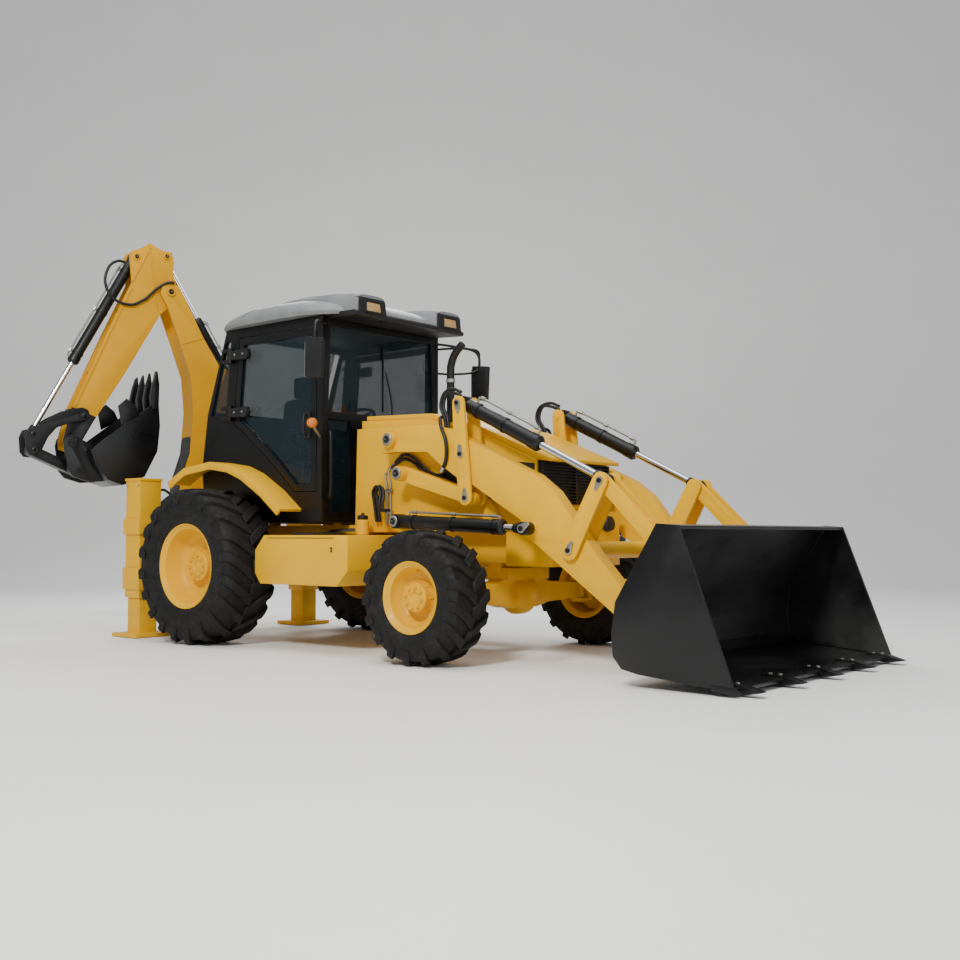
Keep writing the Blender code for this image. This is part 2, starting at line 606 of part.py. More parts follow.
def make_interior(root):
    seat = [box((0.25, 0.58), (-0.15, 0.15), (1.00 + TOUCH, 1.36)),
            box((0.15, 0.66), (-0.25, 0.25), (1.35, 1.47)),
            box((0.06, 0.19), (-0.24, 0.24), (1.43, 2.00)),
            box((0.07, 0.17), (-0.13, 0.13), (1.98, 2.20))]
    add("operator_seat", fuse(seat[0], *seat[1:]), root, "black_trim")
    console = [(0.80, 1.00 + TOUCH), (0.975, 1.00 + TOUCH), (0.975, 1.74), (0.86, 1.72), (0.80, 1.55)]
    ring = turned([(0.19 + 0.014 * math.cos(a), 0.014 * math.sin(a))
                   for a in (2 * math.pi * k / 8 for k in range(8))], 24)
    tilt = Matrix.Rotation(math.radians(90 + 22), 4, "X")
    ring.transform(Matrix.Rotation(math.radians(-90), 4, "Z") @ tilt)
    centre = Vector((0.66, 0.0, 1.80))
    axis = Vector((math.sin(math.radians(22)), 0.0, -math.cos(math.radians(22))))
    column = rod(centre - axis * 0.01, centre + axis * 0.42, 0.024, 12)
    spoke = rod(centre + Vector((0, -0.19, 0)), centre + Vector((0, 0.19, 0)), 0.010, 8)
    add("steering_console", fuse(slab(console, -0.22, 0.22), column, spoke, moved(ring, centre)), root, "black_trim")


# ---- front loader --------------------------------------------------------------------------
ARM = [(1.613, 1.630), (2.076, 1.631), (2.291, 1.586), (2.478, 1.489), (3.026, 1.244), (3.173, 1.136),
       (3.369, 0.892), (3.490, 0.742), (3.683, 0.534), (3.860, 0.375), (3.893, 0.315), (3.870, 0.250),
       (3.810, 0.222), (3.745, 0.250), (3.615, 0.377), (3.020, 0.800), (2.935, 0.845), (2.900, 0.955),
       (2.499, 1.190), (2.355, 1.245), (2.185, 1.352), (2.077, 1.437), (1.741, 1.452), (1.613, 1.445)]


def across(centre, radius, low, high, sides=PIN_SIDES):
    """A round bar along Y through a point of the side view."""
    return rod((centre[0], low, centre[1]), (centre[0], high, centre[1]), radius, sides)


def make_cylinder(name, body, at, eye, length, radius, pin, half, parent_frame_y=0.0):
    """Barrel from its eye at `at` towards `eye`; hollow from its open end."""
    direction = (Vector((eye[0], 0, eye[1])) - Vector((at[0], 0, at[1]))).normalized()
    turn = direction.to_track_quat("Y", "X").to_matrix().to_4x4()
    rod_radius = radius * 0.5
    start = 0.035
    tube = turned([(0.0, start), (radius, start), (radius, length - 0.06), (radius + 0.006, length - 0.055),
                   (radius + 0.006, length), (rod_radius + RUN, length), (rod_radius + RUN, 0.075),
                   (0.0, 0.075)], PIN_SIDES)
    tube.transform(Matrix.Translation((at[0], parent_frame_y, at[1])) @ turn)
    boss = slab(circle(at, radius + 0.004), parent_frame_y - half, parent_frame_y + half)
    barrel = fuse(tube, boss)
    hole = slab(bore(at, pin), parent_frame_y - half - 0.01, parent_frame_y + half + 0.01)
    barrel = combine("DIFFERENCE", barrel, [hole])
    add(name, barrel, body, "black_paint")


def make_piston(name, body, at, eye, length, radius, half, parent_frame_y=0.0):
    """Chromed rod that ends in an eye at `eye`; its inner end is `length` back from the eye."""
    start = Vector((at[0], parent_frame_y, at[1]))
    end = Vector((eye[0], parent_frame_y, eye[1]))
    direction = (end - start).normalized()
    turn = direction.to_track_quat("Y", "X").to_matrix().to_4x4()
    bar = turned([(0.0, 0.0), (radius * 0.5, 0.0), (radius * 0.5, length), (0.0, length)], PIN_SIDES)
    bar.transform(Matrix.Translation(end - direction * length) @ turn)
    boss = slab(circle(eye, radius * 0.9), parent_frame_y - half, parent_frame_y + half)
    add(name, fuse(bar, boss), body, "chrome_rod")


def make_loader(root):
    inner, outer = LINK_Y - ARM_THICK / 2, LINK_Y + ARM_THICK / 2
    arms = Body("loader_lift", root, (ARM_PIVOT[0], 0.0, ARM_PIVOT[1]))
    holes = [bore(p, PIN_RADIUS) for p in (ARM_PIVOT, LEVER_PIVOT, CRANK_PIVOT, BUCKET_PIVOT)]
    stub = across(LIFT_FRONT, 0.045, outer - 0.02, LIFT_Y - 0.049)
    cross = across((3.560, 0.530), 0.045, -inner - 0.01, inner + 0.01, 20)
    sides = both_sides([slab(ARM, inner, outer, holes), stub])
    add("loader_arms", fuse(cross, *sides), arms, "yellow_paint")

    cranks = Body("bell_crank", arms, (CRANK_PIVOT[0], 0.0, CRANK_PIVOT[1]))
    outline = capsule(CRANK_PIVOT, CRANK_TOP, 0.062, 0.055)
    plates = [slab(outline, LINK_Y + PLATE_IN, LINK_Y + PLATE_OUT),
              slab(outline, LINK_Y - PLATE_OUT, LINK_Y - PLATE_IN),
              across(CRANK_PIVOT, PIN_RADIUS, LINK_Y - PIN_END, LINK_Y + PIN_END),
              across(CRANK_TOP, 0.022, LINK_Y + 0.032, LINK_Y + PLATE_OUT - 0.005),
              across(CRANK_TOP, 0.022, LINK_Y - PLATE_OUT + 0.005, LINK_Y - 0.032)]
    torque = across(CRANK_PIVOT, 0.056, -(LINK_Y - PLATE_OUT) - 0.008, LINK_Y - PLATE_OUT + 0.008, 20)
    add("bell_cranks", fuse(torque, *both_sides(plates)), cranks, "yellow_paint")

    tilt = Body("bucket_tilt", arms, (BUCKET_PIVOT[0], 0.0, BUCKET_PIVOT[1]))
    make_loader_bucket(tilt)
    for side, word in ((-1, "right"), (1, "left")):
        make_linkage(root, arms, cranks, side, word)


def mirror_if(shape, side):
    return shape if side > 0 else mirrored(shape)


def make_linkage(root, arms, cranks, side, word):
    """One side's lever, links and cylinders."""
    lever = Body("lever_" + word, arms, (LEVER_PIVOT[0], side * LINK_Y, LEVER_PIVOT[1]))
    top = capsule(LEVER_PIVOT, LEVER_TOP, 0.058, 0.050)
    low = capsule(LEVER_PIVOT, LEVER_LOW, 0.058, 0.052)
    shapes = []
    for near, far in ((PLATE_IN, PLATE_OUT), (-PLATE_OUT, -PLATE_IN)):
        shapes += [slab(top, LINK_Y + near, LINK_Y + far),
                   slab(low, LINK_Y + near + 0.0005, LINK_Y + far - 0.0005)]
    shapes += [across(LEVER_PIVOT, PIN_RADIUS, LINK_Y - PIN_END, LINK_Y + PIN_END),
               across(LEVER_TOP, 0.024, LINK_Y - PIN_END, LINK_Y + PIN_END)]
    add("tilt_lever_" + word, mirror_if(fuse(shapes[0], *shapes[1:]), side), lever, "yellow_paint")

    link = Body("lower_link_" + word, root, (LOWER_LINK_PIVOT[0], side * LINK_Y, LOWER_LINK_PIVOT[1]))
    bar = slab(capsule(LOWER_LINK_PIVOT, LEVER_LOW, 0.055, 0.045), LINK_Y - LINK_THICK / 2,
               LINK_Y + LINK_THICK / 2, [bore(LOWER_LINK_PIVOT, PIN_RADIUS)])
    add("lower_link_" + word, mirror_if(bar, side), link, "yellow_paint")

    tip = Body("tipping_link_" + word, cranks, (CRANK_TOP[0], side * LINK_Y, CRANK_TOP[1]))
    shapes = []
    for near, far in ((0.037, 0.057), (-0.057, -0.037)):
        shapes.append(slab(capsule(CRANK_TOP, BUCKET_EAR, 0.048), LINK_Y + near, LINK_Y + far,
                           [bore(CRANK_TOP, 0.022)]))
    part_way = [CRANK_TOP[k] + 0.6 * (BUCKET_EAR[k] - CRANK_TOP[k]) for k in (0, 1)]
    shapes.append(across(part_way, 0.026, LINK_Y - 0.05, LINK_Y + 0.05))
    add("tipping_link_" + word, mirror_if(fuse(shapes[2], shapes[0], shapes[1]), side), tip, "yellow_paint")

    at_y = side * LINK_Y
    barrel = Body("tilt_barrel_" + word, lever, (LEVER_TOP[0], at_y, LEVER_TOP[1]))
    make_cylinder("tilt_cylinder_" + word, barrel, LEVER_TOP, CRANK_TOP, 0.720, 0.050, 0.024, 0.030, at_y)
    piston = Body("tilt_rod_" + word, barrel, (CRANK_TOP[0], at_y, CRANK_TOP[1]))
    make_piston("tilt_rod_" + word, piston, LEVER_TOP, CRANK_TOP, 0.760, 0.050, 0.020, at_y)

    at_y = side * LIFT_Y
    barrel = Body("lift_barrel_" + word, root, (LIFT_REAR[0], at_y, LIFT_REAR[1]))
    make_cylinder("lift_cylinder_" + word, barrel, LIFT_REAR, LIFT_FRONT, 0.960, 0.048, PIN_RADIUS, 0.048, at_y)
    piston = Body("lift_rod_" + word, barrel, (LIFT_FRONT[0], at_y, LIFT_FRONT[1]))
    make_piston("lift_rod_" + word, piston, LIFT_REAR, LIFT_FRONT, 1.030, 0.048, 0.045, at_y)


BUCKET_BACK = [(4.362, 0.905), (4.227, 0.915), (3.957, 0.476), (3.930, 0.300), (3.940, 0.170), (3.995, 0.105),
               (4.100, 0.083), (4.690, 0.030)]


def bend(centre, radius, first, last, steps=5):
    """Points round centre from the first angle to the last, in degrees."""
    angles = [math.radians(first + (last - first) * k / steps) for k in range(steps + 1)]
    return [(centre[0] + radius * math.cos(a), centre[1] + radius * math.sin(a)) for a in angles]


def make_loader_bucket(tilt):
    shell = slab(ribbon(BUCKET_BACK, BUCKET_PLATE), 0.008 - BUCKET_HALF, BUCKET_HALF - 0.008)
    cheek = slab(grow(BUCKET_BACK, 0.003), BUCKET_HALF - BUCKET_PLATE, BUCKET_HALF)
    hinge = bend(BUCKET_PIVOT, 0.066, 95, 265) + [(3.943, 0.250), (3.939, 0.300), (3.954, 0.400)]
    ear = bend(BUCKET_EAR, 0.052, 58, 238) + [(4.0674, 0.6381), (4.1302, 0.7403)]
    left = [cheek, across(BUCKET_PIVOT, PIN_RADIUS, LINK_Y - PIN_END, LINK_Y + PIN_END),
            slab(ear, LINK_Y - 0.020, LINK_Y + 0.020),
            slab(hinge, LINK_Y + PLATE_IN, LINK_Y + PLATE_OUT),
            slab(hinge, LINK_Y - PLATE_OUT, LINK_Y - PLATE_IN)]
    teeth = []
    pitch = 2 * (BUCKET_HALF - 0.10) / (TOOTH_COUNT - 1)
    for k in range(TOOTH_COUNT):
        middle = -BUCKET_HALF + 0.10 + k * pitch
        wedge = [(4.56, 0.030), (4.70, 0.012), (4.812, 0.030), (4.70, 0.062), (4.56, 0.070)]
        teeth.append(slab(wedge, middle - TOOTH_WIDTH / 2, middle + TOOTH_WIDTH / 2))
    add("loader_bucket", fuse(shell, *both_sides(left), *teeth), tilt, "black_paint")


# ---- digging arm ---------------------------------------------------------------------------
BOOM_FRONT = [(0.345, 0.960), (0.310, 1.350), (0.225, 1.607), (0.196, 2.009), (0.225, 2.329), (0.329, 2.625),
              (0.456, 2.964)]
BOOM_END = [(0.522, 3.070), (0.500, 3.160), (0.425, 3.196), (0.345, 3.150)]
BOOM_BACK = [(0.112, 2.711), (-0.053, 2.449), (-0.250, 2.375), (-0.300, 2.300), (-0.265, 2.220), (-0.150, 1.980),
             (-0.130, 1.600), (-0.020, 1.250), (0.158, 0.960), (0.190, 0.882), (0.250, 0.858), (0.310, 0.882)]
DIPPER_OUTLINE = [(0.620, 3.530), (0.700, 3.472), (0.780, 3.440), (0.802, 3.390), (0.780, 3.148),
                  (0.969, 2.720), (1.290, 1.972), (1.366, 1.690), (1.360, 1.610), (1.300, 1.590), (1.240, 1.625),
                  (1.086, 1.893), (0.838, 2.296), (0.512, 2.878), (0.370, 3.020), (0.345, 3.110), (0.395, 3.277),
                  (0.386, 3.380), (0.405, 3.469), (0.500, 3.480)]
DIPPER_CORE = [(0.545, 3.200), (0.530, 2.905), (0.850, 2.310), (1.060, 1.960), (1.250, 2.000), (0.945, 2.715),
               (0.765, 3.130), (0.640, 3.210)]
IDLER = [(1.148, 1.915), (1.160, 1.955), (1.210, 1.975), (1.330, 1.955), (1.470, 1.880), (1.590, 1.790),
         (1.665, 1.765), (1.690, 1.700), (1.680, 1.575), (1.650, 1.535), (1.600, 1.530), (1.550, 1.590),
         (1.500, 1.700), (1.430, 1.785), (1.300, 1.840), (1.200, 1.850), (1.160, 1.870)]
HOE_SHELL = [(0.605, 2.050), (0.590, 1.830), (0.610, 1.609), (0.720, 1.386), (0.900, 1.312), (1.020, 1.350),
             (1.120, 1.470), (1.170, 1.600)]
HOE_EAR = [(1.120, 1.640), (1.240, 1.700), (1.300, 1.735), (1.360, 1.705), (1.374, 1.640), (1.340, 1.420),
           (1.290, 1.360), (1.150, 1.320), (1.000, 1.330), (1.060, 1.480)]


def make_backhoe(root):
    carriage = Body("carriage", root, (KINGPIN_X, KINGPIN_Y, 0.75))
    post_radius, pin_radius = 0.085, 0.040
    ears = []
    for low in (0.430, 0.990):
        outline = [(CARRIAGE_FACE - 0.03, KINGPIN_Y - 0.14), (KINGPIN_X, KINGPIN_Y - 0.085),
                   (KINGPIN_X - 0.065, KINGPIN_Y - 0.055), (KINGPIN_X - 0.085, KINGPIN_Y),
                   (KINGPIN_X - 0.065, KINGPIN_Y + 0.055), (KINGPIN_X, KINGPIN_Y + 0.085),
                   (CARRIAGE_FACE - 0.03, KINGPIN_Y + 0.14)]
        ears.append(slab(outline, low, low + 0.050, [bore((KINGPIN_X, KINGPIN_Y), pin_radius, SWING)], axis="Z"))
    plate = box((CARRIAGE_FACE - 0.050, CARRIAGE_FACE), (KINGPIN_Y - 0.30, KINGPIN_Y + 0.30), (0.410, 1.125))
    hook = box((CARRIAGE_FACE - 0.030, -0.975), (KINGPIN_Y - 0.28, KINGPIN_Y + 0.28), (1.1004, 1.130))
    add("backhoe_carriage", fuse(plate, hook, *ears), carriage, "yellow_paint")

    swing = Body("swing", carriage, (KINGPIN_X, KINGPIN_Y, 0.0), 180.0 + SWING, (0, 0, 0))
    cheek = [(0.020, 0.500), (0.300, 0.560), (0.345, 0.900), (0.345, 1.000), (0.220, 1.260), (0.020, 1.300),
             (-0.130, 1.290), (-0.165, 1.200), (-0.120, 1.060), (0.130, 1.055), (0.130, 0.970), (0.020, 0.970)]
    near, far = 0.135, 0.162
    shapes = [slab(cheek, near, far), slab(cheek, -far, -near),
              box((0.030, 0.140), (-near - 0.01, near + 0.01), (0.520, 0.960)),
              rod((0, 0, 0.490), (0, 0, 0.980), post_radius, 20),
              rod((0, 0, 0.420), (0, 0, 1.050), pin_radius),
              across(BOOM_PIVOT, PIN_RADIUS, -far - 0.006, far + 0.006),
              across(BOOM_CYL_LOW, 0.024, -far - 0.006, far + 0.006)]
    add("swing_post", fuse(shapes[2], shapes[3], shapes[4], shapes[0], shapes[1], shapes[5], shapes[6]), swing,
        "yellow_paint")

    boom = Body("boom", swing, (BOOM_PIVOT[0], 0.0, BOOM_PIVOT[1]))
    outline = BOOM_FRONT + BOOM_END + BOOM_BACK
    holes = [bore(BOOM_PIVOT, PIN_RADIUS)]
    web = slab(grow(ribbon(BOOM_FRONT[1:-1], 0.022), -0.001), -BOOM_IN - 0.01, BOOM_IN + 0.01)
    block = slab([(0.040, 2.520), (0.275, 2.520), (0.350, 2.725), (0.165, 2.725)], -BOOM_IN - 0.01, BOOM_IN + 0.01)
    shapes = [slab(outline, BOOM_IN, BOOM_OUT, holes), slab(outline, -BOOM_OUT, -BOOM_IN, holes), web, block,
              across(DIPPER_PIVOT, PIN_RADIUS, -BOOM_OUT - 0.006, BOOM_OUT + 0.006),
              across(DIPPER_CYL_LOW, 0.022, -BOOM_OUT - 0.006, BOOM_OUT + 0.006)]
    add("boom", fuse(shapes[3], shapes[2], shapes[0], shapes[1], shapes[4], shapes[5]), boom, "yellow_paint")

    dipper = Body("dipper", boom, (DIPPER_PIVOT[0], 0.0, DIPPER_PIVOT[1]))
    holes = [bore(p, PIN_RADIUS) for p in (DIPPER_PIVOT, IDLER_PIVOT, HOE_PIVOT)]
    inside = DIPPER_HALF - DIPPER_PLATE
    core = slab(DIPPER_CORE, -inside - 0.005, inside + 0.005)
    shapes = [slab(DIPPER_OUTLINE, inside, DIPPER_HALF, holes), slab(DIPPER_OUTLINE, -DIPPER_HALF, -inside, holes),
              across(HOE_CYL_TOP, 0.022, -DIPPER_HALF + 0.004, DIPPER_HALF - 0.004)]
    add("dipper", fuse(core, *shapes), dipper, "yellow_paint")

    idler = Body("idler", dipper, (IDLER_PIVOT[0], 0.0, IDLER_PIVOT[1]))
    near, far = 0.098, 0.118
    shapes = [slab(IDLER, near, far), slab(IDLER, -far, -near),
              across(IDLER_PIVOT, PIN_RADIUS, -far - 0.003, far + 0.003),
              across(H_LINK_PIVOT, 0.024, -far - 0.003, far + 0.003)]
    add("idler_links", fuse(shapes[2], shapes[3], shapes[0], shapes[1]), idler, "black_paint")
    link = Body("h_link", idler, (H_LINK_PIVOT[0], 0.0, H_LINK_PIVOT[1]))
    bar = slab(capsule(H_LINK_PIVOT, HOE_LINK_PIN, 0.044), -0.060, 0.060, [bore(H_LINK_PIVOT, 0.024)])
    add("bucket_link", bar, link, "black_paint")

    hoe = Body("hoe_bucket", dipper, (HOE_PIVOT[0], 0.0, HOE_PIVOT[1]))
    make_hoe_bucket(hoe)

    for name, body, low, top, length, stroke_rod, radius in (
            ("boom", swing, BOOM_CYL_LOW, BOOM_CYL_TOP, 0.780, 0.860, 0.050),
            ("dipper", boom, DIPPER_CYL_LOW, DIPPER_CYL_TOP, 0.700, 0.715, 0.045),
            ("hoe", dipper, HOE_CYL_TOP, ROD_EYE, 1.150, 1.170, 0.047)):
        pin = 0.024 if name == "boom" else 0.022
        barrel = Body(name + "_barrel", body, (low[0], 0.0, low[1]))
        make_cylinder(name + "_cylinder", barrel, low, top, length, radius, pin, 0.040)
        piston = Body(name + "_rod", barrel, (top[0], 0.0, top[1]))
        make_piston(name + "_rod", piston, low, top, stroke_rod, radius, 0.030)


def make_hoe_bucket(hoe):
    shell = slab(ribbon(HOE_SHELL[::-1], HOE_SKIN), 0.008 - HOE_HALF, HOE_HALF - 0.008)
    cheek = grow(HOE_SHELL + [(1.080, 1.680), (0.760, 1.930)], 0.003)
    shapes = both_sides([slab(cheek, HOE_HALF - HOE_SKIN, HOE_HALF), slab(HOE_EAR, 0.126, 0.150)])
    shapes.append(across(HOE_PIVOT, PIN_RADIUS, -0.155, 0.155))
    count = 4
    pitch = 2 * (HOE_HALF - 0.05) / (count - 1)
    for k in range(count):
        middle = -HOE_HALF + 0.05 + k * pitch
        spike = [(0.588, 2.000), (0.630, 2.000), (0.632, 2.180), (0.606, 2.330), (0.590, 2.180)]
        shapes.append(slab(spike, middle - 0.028, middle + 0.028))
    add("hoe_bucket", fuse(shell, *shapes), hoe, "black_paint")


def make_stabilisers(root):
    for side, word in ((-1, "right"), (1, "left")):
        leg = Body("stabiliser_" + word, root, (LEG_X, side * LEG_Y, 0.5))
        column = box((LEG_X - LEG_HALF, LEG_X + LEG_HALF), (LEG_Y - LEG_HALF, LEG_Y + LEG_HALF), (0.020, 0.950))
        foot = box((-1.10, -0.76), (0.72, 1.08), (0.004, 0.036))
        shape = fuse(column, foot)
        add("stabiliser_leg_" + word, mirror_if(shape, side), leg, "yellow_paint")


# ---- the whole machine ---------------------------------------------------------------------
def centre_on_ground(root):
    """Move the machine so that its footprint's middle is the origin."""
    bpy.context.view_layer.update()
    corners = [obj.matrix_world @ Vector(corner) for obj in bpy.data.objects if obj.type == "MESH"
               for corner in obj.bound_box]
    for k in (0, 1):
        values = [corner[k] for corner in corners]
        root.empty.location[k] = -(min(values) + max(values)) / 2
    bpy.context.view_layer.update()


def main():
    clear_scene()
    root = Body("machine")
    make_chassis(root)
    make_engine_bay(root)
    make_bonnet(root)
    make_side_tanks(root)
    make_fenders(root)
    make_rear_axle(root)
    make_front_axle(root)
    make_cab(root)
    make_doors(root)
    make_roof(root)
    make_interior(root)
    make_loader(root)
    make_backhoe(root)
    make_stabilisers(root)
    centre_on_ground(root)


main()
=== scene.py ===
# %% [markdown]
# # A backhoe loader and its looks
# The CAD solids already stand where they belong and move on their joints. This script gives each
# of them its looks: rounded edges, real materials, tyre lugs, glass, hoses, lamps and pins.
# Each new piece rides on the CAD body it is bolted to, so it follows every joint; only the hose loops at the
# loader's levers are fixed where they are drawn.

# %% Setup
import json
import math

import bmesh
import bpy
from mathutils import Matrix, Vector
from mathutils.bvhtree import BVHTree
from mathutils.geometry import tessellate_polygon


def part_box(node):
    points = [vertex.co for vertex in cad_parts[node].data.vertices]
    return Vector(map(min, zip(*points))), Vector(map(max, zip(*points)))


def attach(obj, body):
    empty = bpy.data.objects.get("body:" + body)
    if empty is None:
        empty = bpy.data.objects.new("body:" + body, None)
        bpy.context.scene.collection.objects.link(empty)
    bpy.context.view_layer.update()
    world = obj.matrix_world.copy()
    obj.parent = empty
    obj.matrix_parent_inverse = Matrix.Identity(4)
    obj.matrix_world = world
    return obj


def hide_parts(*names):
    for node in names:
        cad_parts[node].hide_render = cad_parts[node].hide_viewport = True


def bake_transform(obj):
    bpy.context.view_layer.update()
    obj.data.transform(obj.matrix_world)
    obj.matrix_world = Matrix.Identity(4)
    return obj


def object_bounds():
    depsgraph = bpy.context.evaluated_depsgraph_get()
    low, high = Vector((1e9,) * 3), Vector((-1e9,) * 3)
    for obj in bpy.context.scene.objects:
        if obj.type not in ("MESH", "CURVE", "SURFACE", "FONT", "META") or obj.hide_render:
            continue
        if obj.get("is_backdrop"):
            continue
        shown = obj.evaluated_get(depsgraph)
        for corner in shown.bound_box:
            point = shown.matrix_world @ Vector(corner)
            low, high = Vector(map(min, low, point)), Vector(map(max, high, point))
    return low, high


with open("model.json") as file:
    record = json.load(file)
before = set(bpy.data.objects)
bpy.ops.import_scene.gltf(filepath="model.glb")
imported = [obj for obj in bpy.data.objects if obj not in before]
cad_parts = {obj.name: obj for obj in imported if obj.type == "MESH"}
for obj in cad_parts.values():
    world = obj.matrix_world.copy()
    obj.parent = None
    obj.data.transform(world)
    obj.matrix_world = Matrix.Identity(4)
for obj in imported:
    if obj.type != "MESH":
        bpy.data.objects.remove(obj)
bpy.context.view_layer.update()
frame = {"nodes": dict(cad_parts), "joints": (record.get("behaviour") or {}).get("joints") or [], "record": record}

# %% [markdown]
# ## Two drawing frames
# The machine is drawn with its rear axle at X = 0 and its middle at Y = 0. The rear tyres give the
# way from there to the row's own frame. The digging arm has a side view of its own, measured from
# its kingpin: X away from the machine, Z up.

# %% Drawing frames


def middle(node):
    low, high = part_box(node)
    return (Vector(low) + Vector(high)) / 2


right_wheel, left_wheel = middle("rear_tyre_right"), middle("rear_tyre_left")
MACHINE = Matrix.Translation(((right_wheel.x + left_wheel.x) / 2, (right_wheel.y + left_wheel.y) / 2, 0))
swing_joint = next(j for j in frame["joints"] if j["name"] == "swing")
kingpin = Vector(swing_joint["pos_m"])
boom_axis = Vector(next(j for j in frame["joints"] if j["name"] == "boom_lower")["axis"])
swung = math.atan2(boom_axis.y, boom_axis.x) - math.pi / 2
ARM = Matrix.Translation((kingpin.x, kingpin.y, 0)) @ Matrix.Rotation(swung, 4, "Z")
print("machine offset", [round(v, 3) for v in MACHINE.translation], "arm swung",
    round(math.degrees(swung), 1))

# %% [markdown]
# ## Materials
# Every material is procedural and works in object coordinates, so its pattern has a real size in
# metres. One small function adds a node with its settings and links, and one converts a colour
# from the usual hex notation.

# %% Material helpers


def colour(code):
    channels = [int(code[k:k + 2], 16) / 255 for k in (0, 2, 4)]
    return tuple(c / 12.92 if c <= 0.04045 else ((c + 0.055) / 1.055) ** 2.4 for c in channels) + (1.0,)


def node(tree, kind, inputs=None, **settings):
    made = tree.nodes.new(kind)
    for name, value in settings.items():
        setattr(made, name, value)
    for name, value in (inputs or {}).items():
        if isinstance(value, bpy.types.NodeSocket):
            tree.links.new(value, made.inputs[name])
        else:
            made.inputs[name].default_value = value
    return made


RANGE, MIX, MATH = "ShaderNodeMapRange", "ShaderNodeMix", "ShaderNodeMath"


def pattern(tree, scale, detail=4.0, stretch=(1, 1, 1), roughness=0.55):
    """A cloudy pattern of about 1/scale metres; stretch squeezes it along an axis."""
    place = node(tree, "ShaderNodeTexCoord").outputs["Object"]
    mapped = node(tree, "ShaderNodeMapping", {"Vector": place, "Scale": stretch}).outputs["Vector"]
    inputs = {"Vector": mapped, "Scale": scale, "Detail": detail, "Roughness": roughness}
    return node(tree, "ShaderNodeTexNoise", inputs).outputs["Fac"]


def surface(name, build, **constants):
    """A Principled material; build returns its base colour, roughness and bump height."""
    material = bpy.data.materials.new(name)
    material.use_nodes = True
    tree = material.node_tree
    shader = tree.nodes["Principled BSDF"]
    for socket, value in constants.items():
        shader.inputs[socket.replace("_", " ")].default_value = value
    base, rough, bump, strength, depth = build(tree)
    for socket, value in (("Base Color", base), ("Roughness", rough)):
        if isinstance(value, bpy.types.NodeSocket):
            tree.links.new(value, shader.inputs[socket])
        else:
            shader.inputs[socket].default_value = value
    if bump is not None:
        relief = node(tree, "ShaderNodeBump", {"Height": bump, "Strength": strength, "Distance": depth})
        tree.links.new(relief.outputs["Normal"], shader.inputs["Normal"])
    return material


def enamel(fresh, faded, dust, gloss):
    """Sprayed machine paint: slow fading, a little dust low down, and fine orange peel."""
    def build(tree):
        fade = node(tree, RANGE, {"Value": pattern(tree, 2.2), "From Min": 0.35, "From Max": 0.70})
        tone = node(tree, MIX, {0: fade.outputs[0], 6: colour(fresh), 7: colour(faded)}, data_type="RGBA")
        place = node(tree, "ShaderNodeTexCoord").outputs["Object"]
        height = node(tree, "ShaderNodeSeparateXYZ", {"Vector": place}).outputs["Z"]
        low = node(tree, RANGE, {"Value": height, "From Min": 0.9, "From Max": 0.05, "To Max": 0.30})
        cloud = node(tree, RANGE, {"Value": pattern(tree, 7.0, 6.0), "From Min": 0.42, "From Max": 0.72})
        dusty = node(tree, MATH, {0: low.outputs[0], 1: cloud.outputs[0]}, operation="MULTIPLY")
        base = node(tree, MIX, {0: dusty.outputs[0], 6: tone.outputs[2], 7: colour(dust)}, data_type="RGBA")
        rough = node(tree, RANGE, {"Value": pattern(tree, 9.0, 5.0), "From Min": 0.3, "From Max": 0.75,
            "To Min": gloss, "To Max": gloss + 0.16})
        return base.outputs[2], rough.outputs[0], pattern(tree, 260.0, 2.0), 0.10, 0.0006
    return build


def tread_rubber(tree):
    """Soot-black rubber with dry dust in patches."""
    dust = node(tree, RANGE, {"Value": pattern(tree, 9.0, 6.0), "From Min": 0.45, "From Max": 0.75,
        "To Max": 0.45})
    base = node(tree, MIX, {0: dust.outputs[0], 6: colour("0b0b0b"), 7: colour("2a2621")}, data_type="RGBA")
    rough = node(tree, RANGE, {"Value": pattern(tree, 30.0), "From Min": 0.3, "From Max": 0.7,
        "To Min": 0.62, "To Max": 0.88})
    return base.outputs[2], rough.outputs[0], pattern(tree, 90.0, 6.0), 0.35, 0.002


def bucket_steel(tree):
    """Black bucket paint with long lighter streaks: scuff wear where earth slides over it, and painted sheen of a
    streaky gloss.
    """
    streaks = pattern(tree, 14.0, 8.0, (1.0, 0.25, 1.6), 0.65)
    # Lighter streaks in the base colour: scuff wear and painted sheen together.
    scuff_and_sheen = node(tree, RANGE, {"Value": streaks, "From Min": 0.56, "From Max": 0.78})
    wear_and_sheen = node(tree, MATH, {0: scuff_and_sheen.outputs[0], 1: 0.45}, operation="MULTIPLY")
    base = node(tree, MIX, {0: wear_and_sheen.outputs[0], 6: colour("050506"), 7: colour("1c1b1b")}, data_type="RGBA")
    rough = node(tree, RANGE, {"Value": pattern(tree, 3.0, 5.0, (1.0, 0.5, 1.0)), "From Min": 0.3,
        "From Max": 0.7, "To Min": 0.24, "To Max": 0.52})
    return base.outputs[2], rough.outputs[0], pattern(tree, 45.0, 5.0), 0.15, 0.0015


def hard_chrome(tree):
    """Ground and chromed steel, with a faint change of gloss along its length."""
    rough = node(tree, RANGE, {"Value": pattern(tree, 60.0, 2.0, (0.2, 0.2, 1.0)), "From Min": 0.3,
        "From Max": 0.7, "To Min": 0.08, "To Max": 0.20})
    return colour("d7d9dc"), rough.outputs[0], None, 0, 0


def zinc_steel(tree):
    """Plated fittings with a mottled, slightly yellow grey."""
    base = node(tree, MIX, {0: pattern(tree, 40.0), 6: colour("b9b7ad"), 7: colour("84847f")},
        data_type="RGBA")
    rough = node(tree, RANGE, {"Value": pattern(tree, 70.0), "From Min": 0.3, "From Max": 0.7,
        "To Min": 0.28, "To Max": 0.5})
    return base.outputs[2], rough.outputs[0], pattern(tree, 180.0, 2.0), 0.1, 0.0005


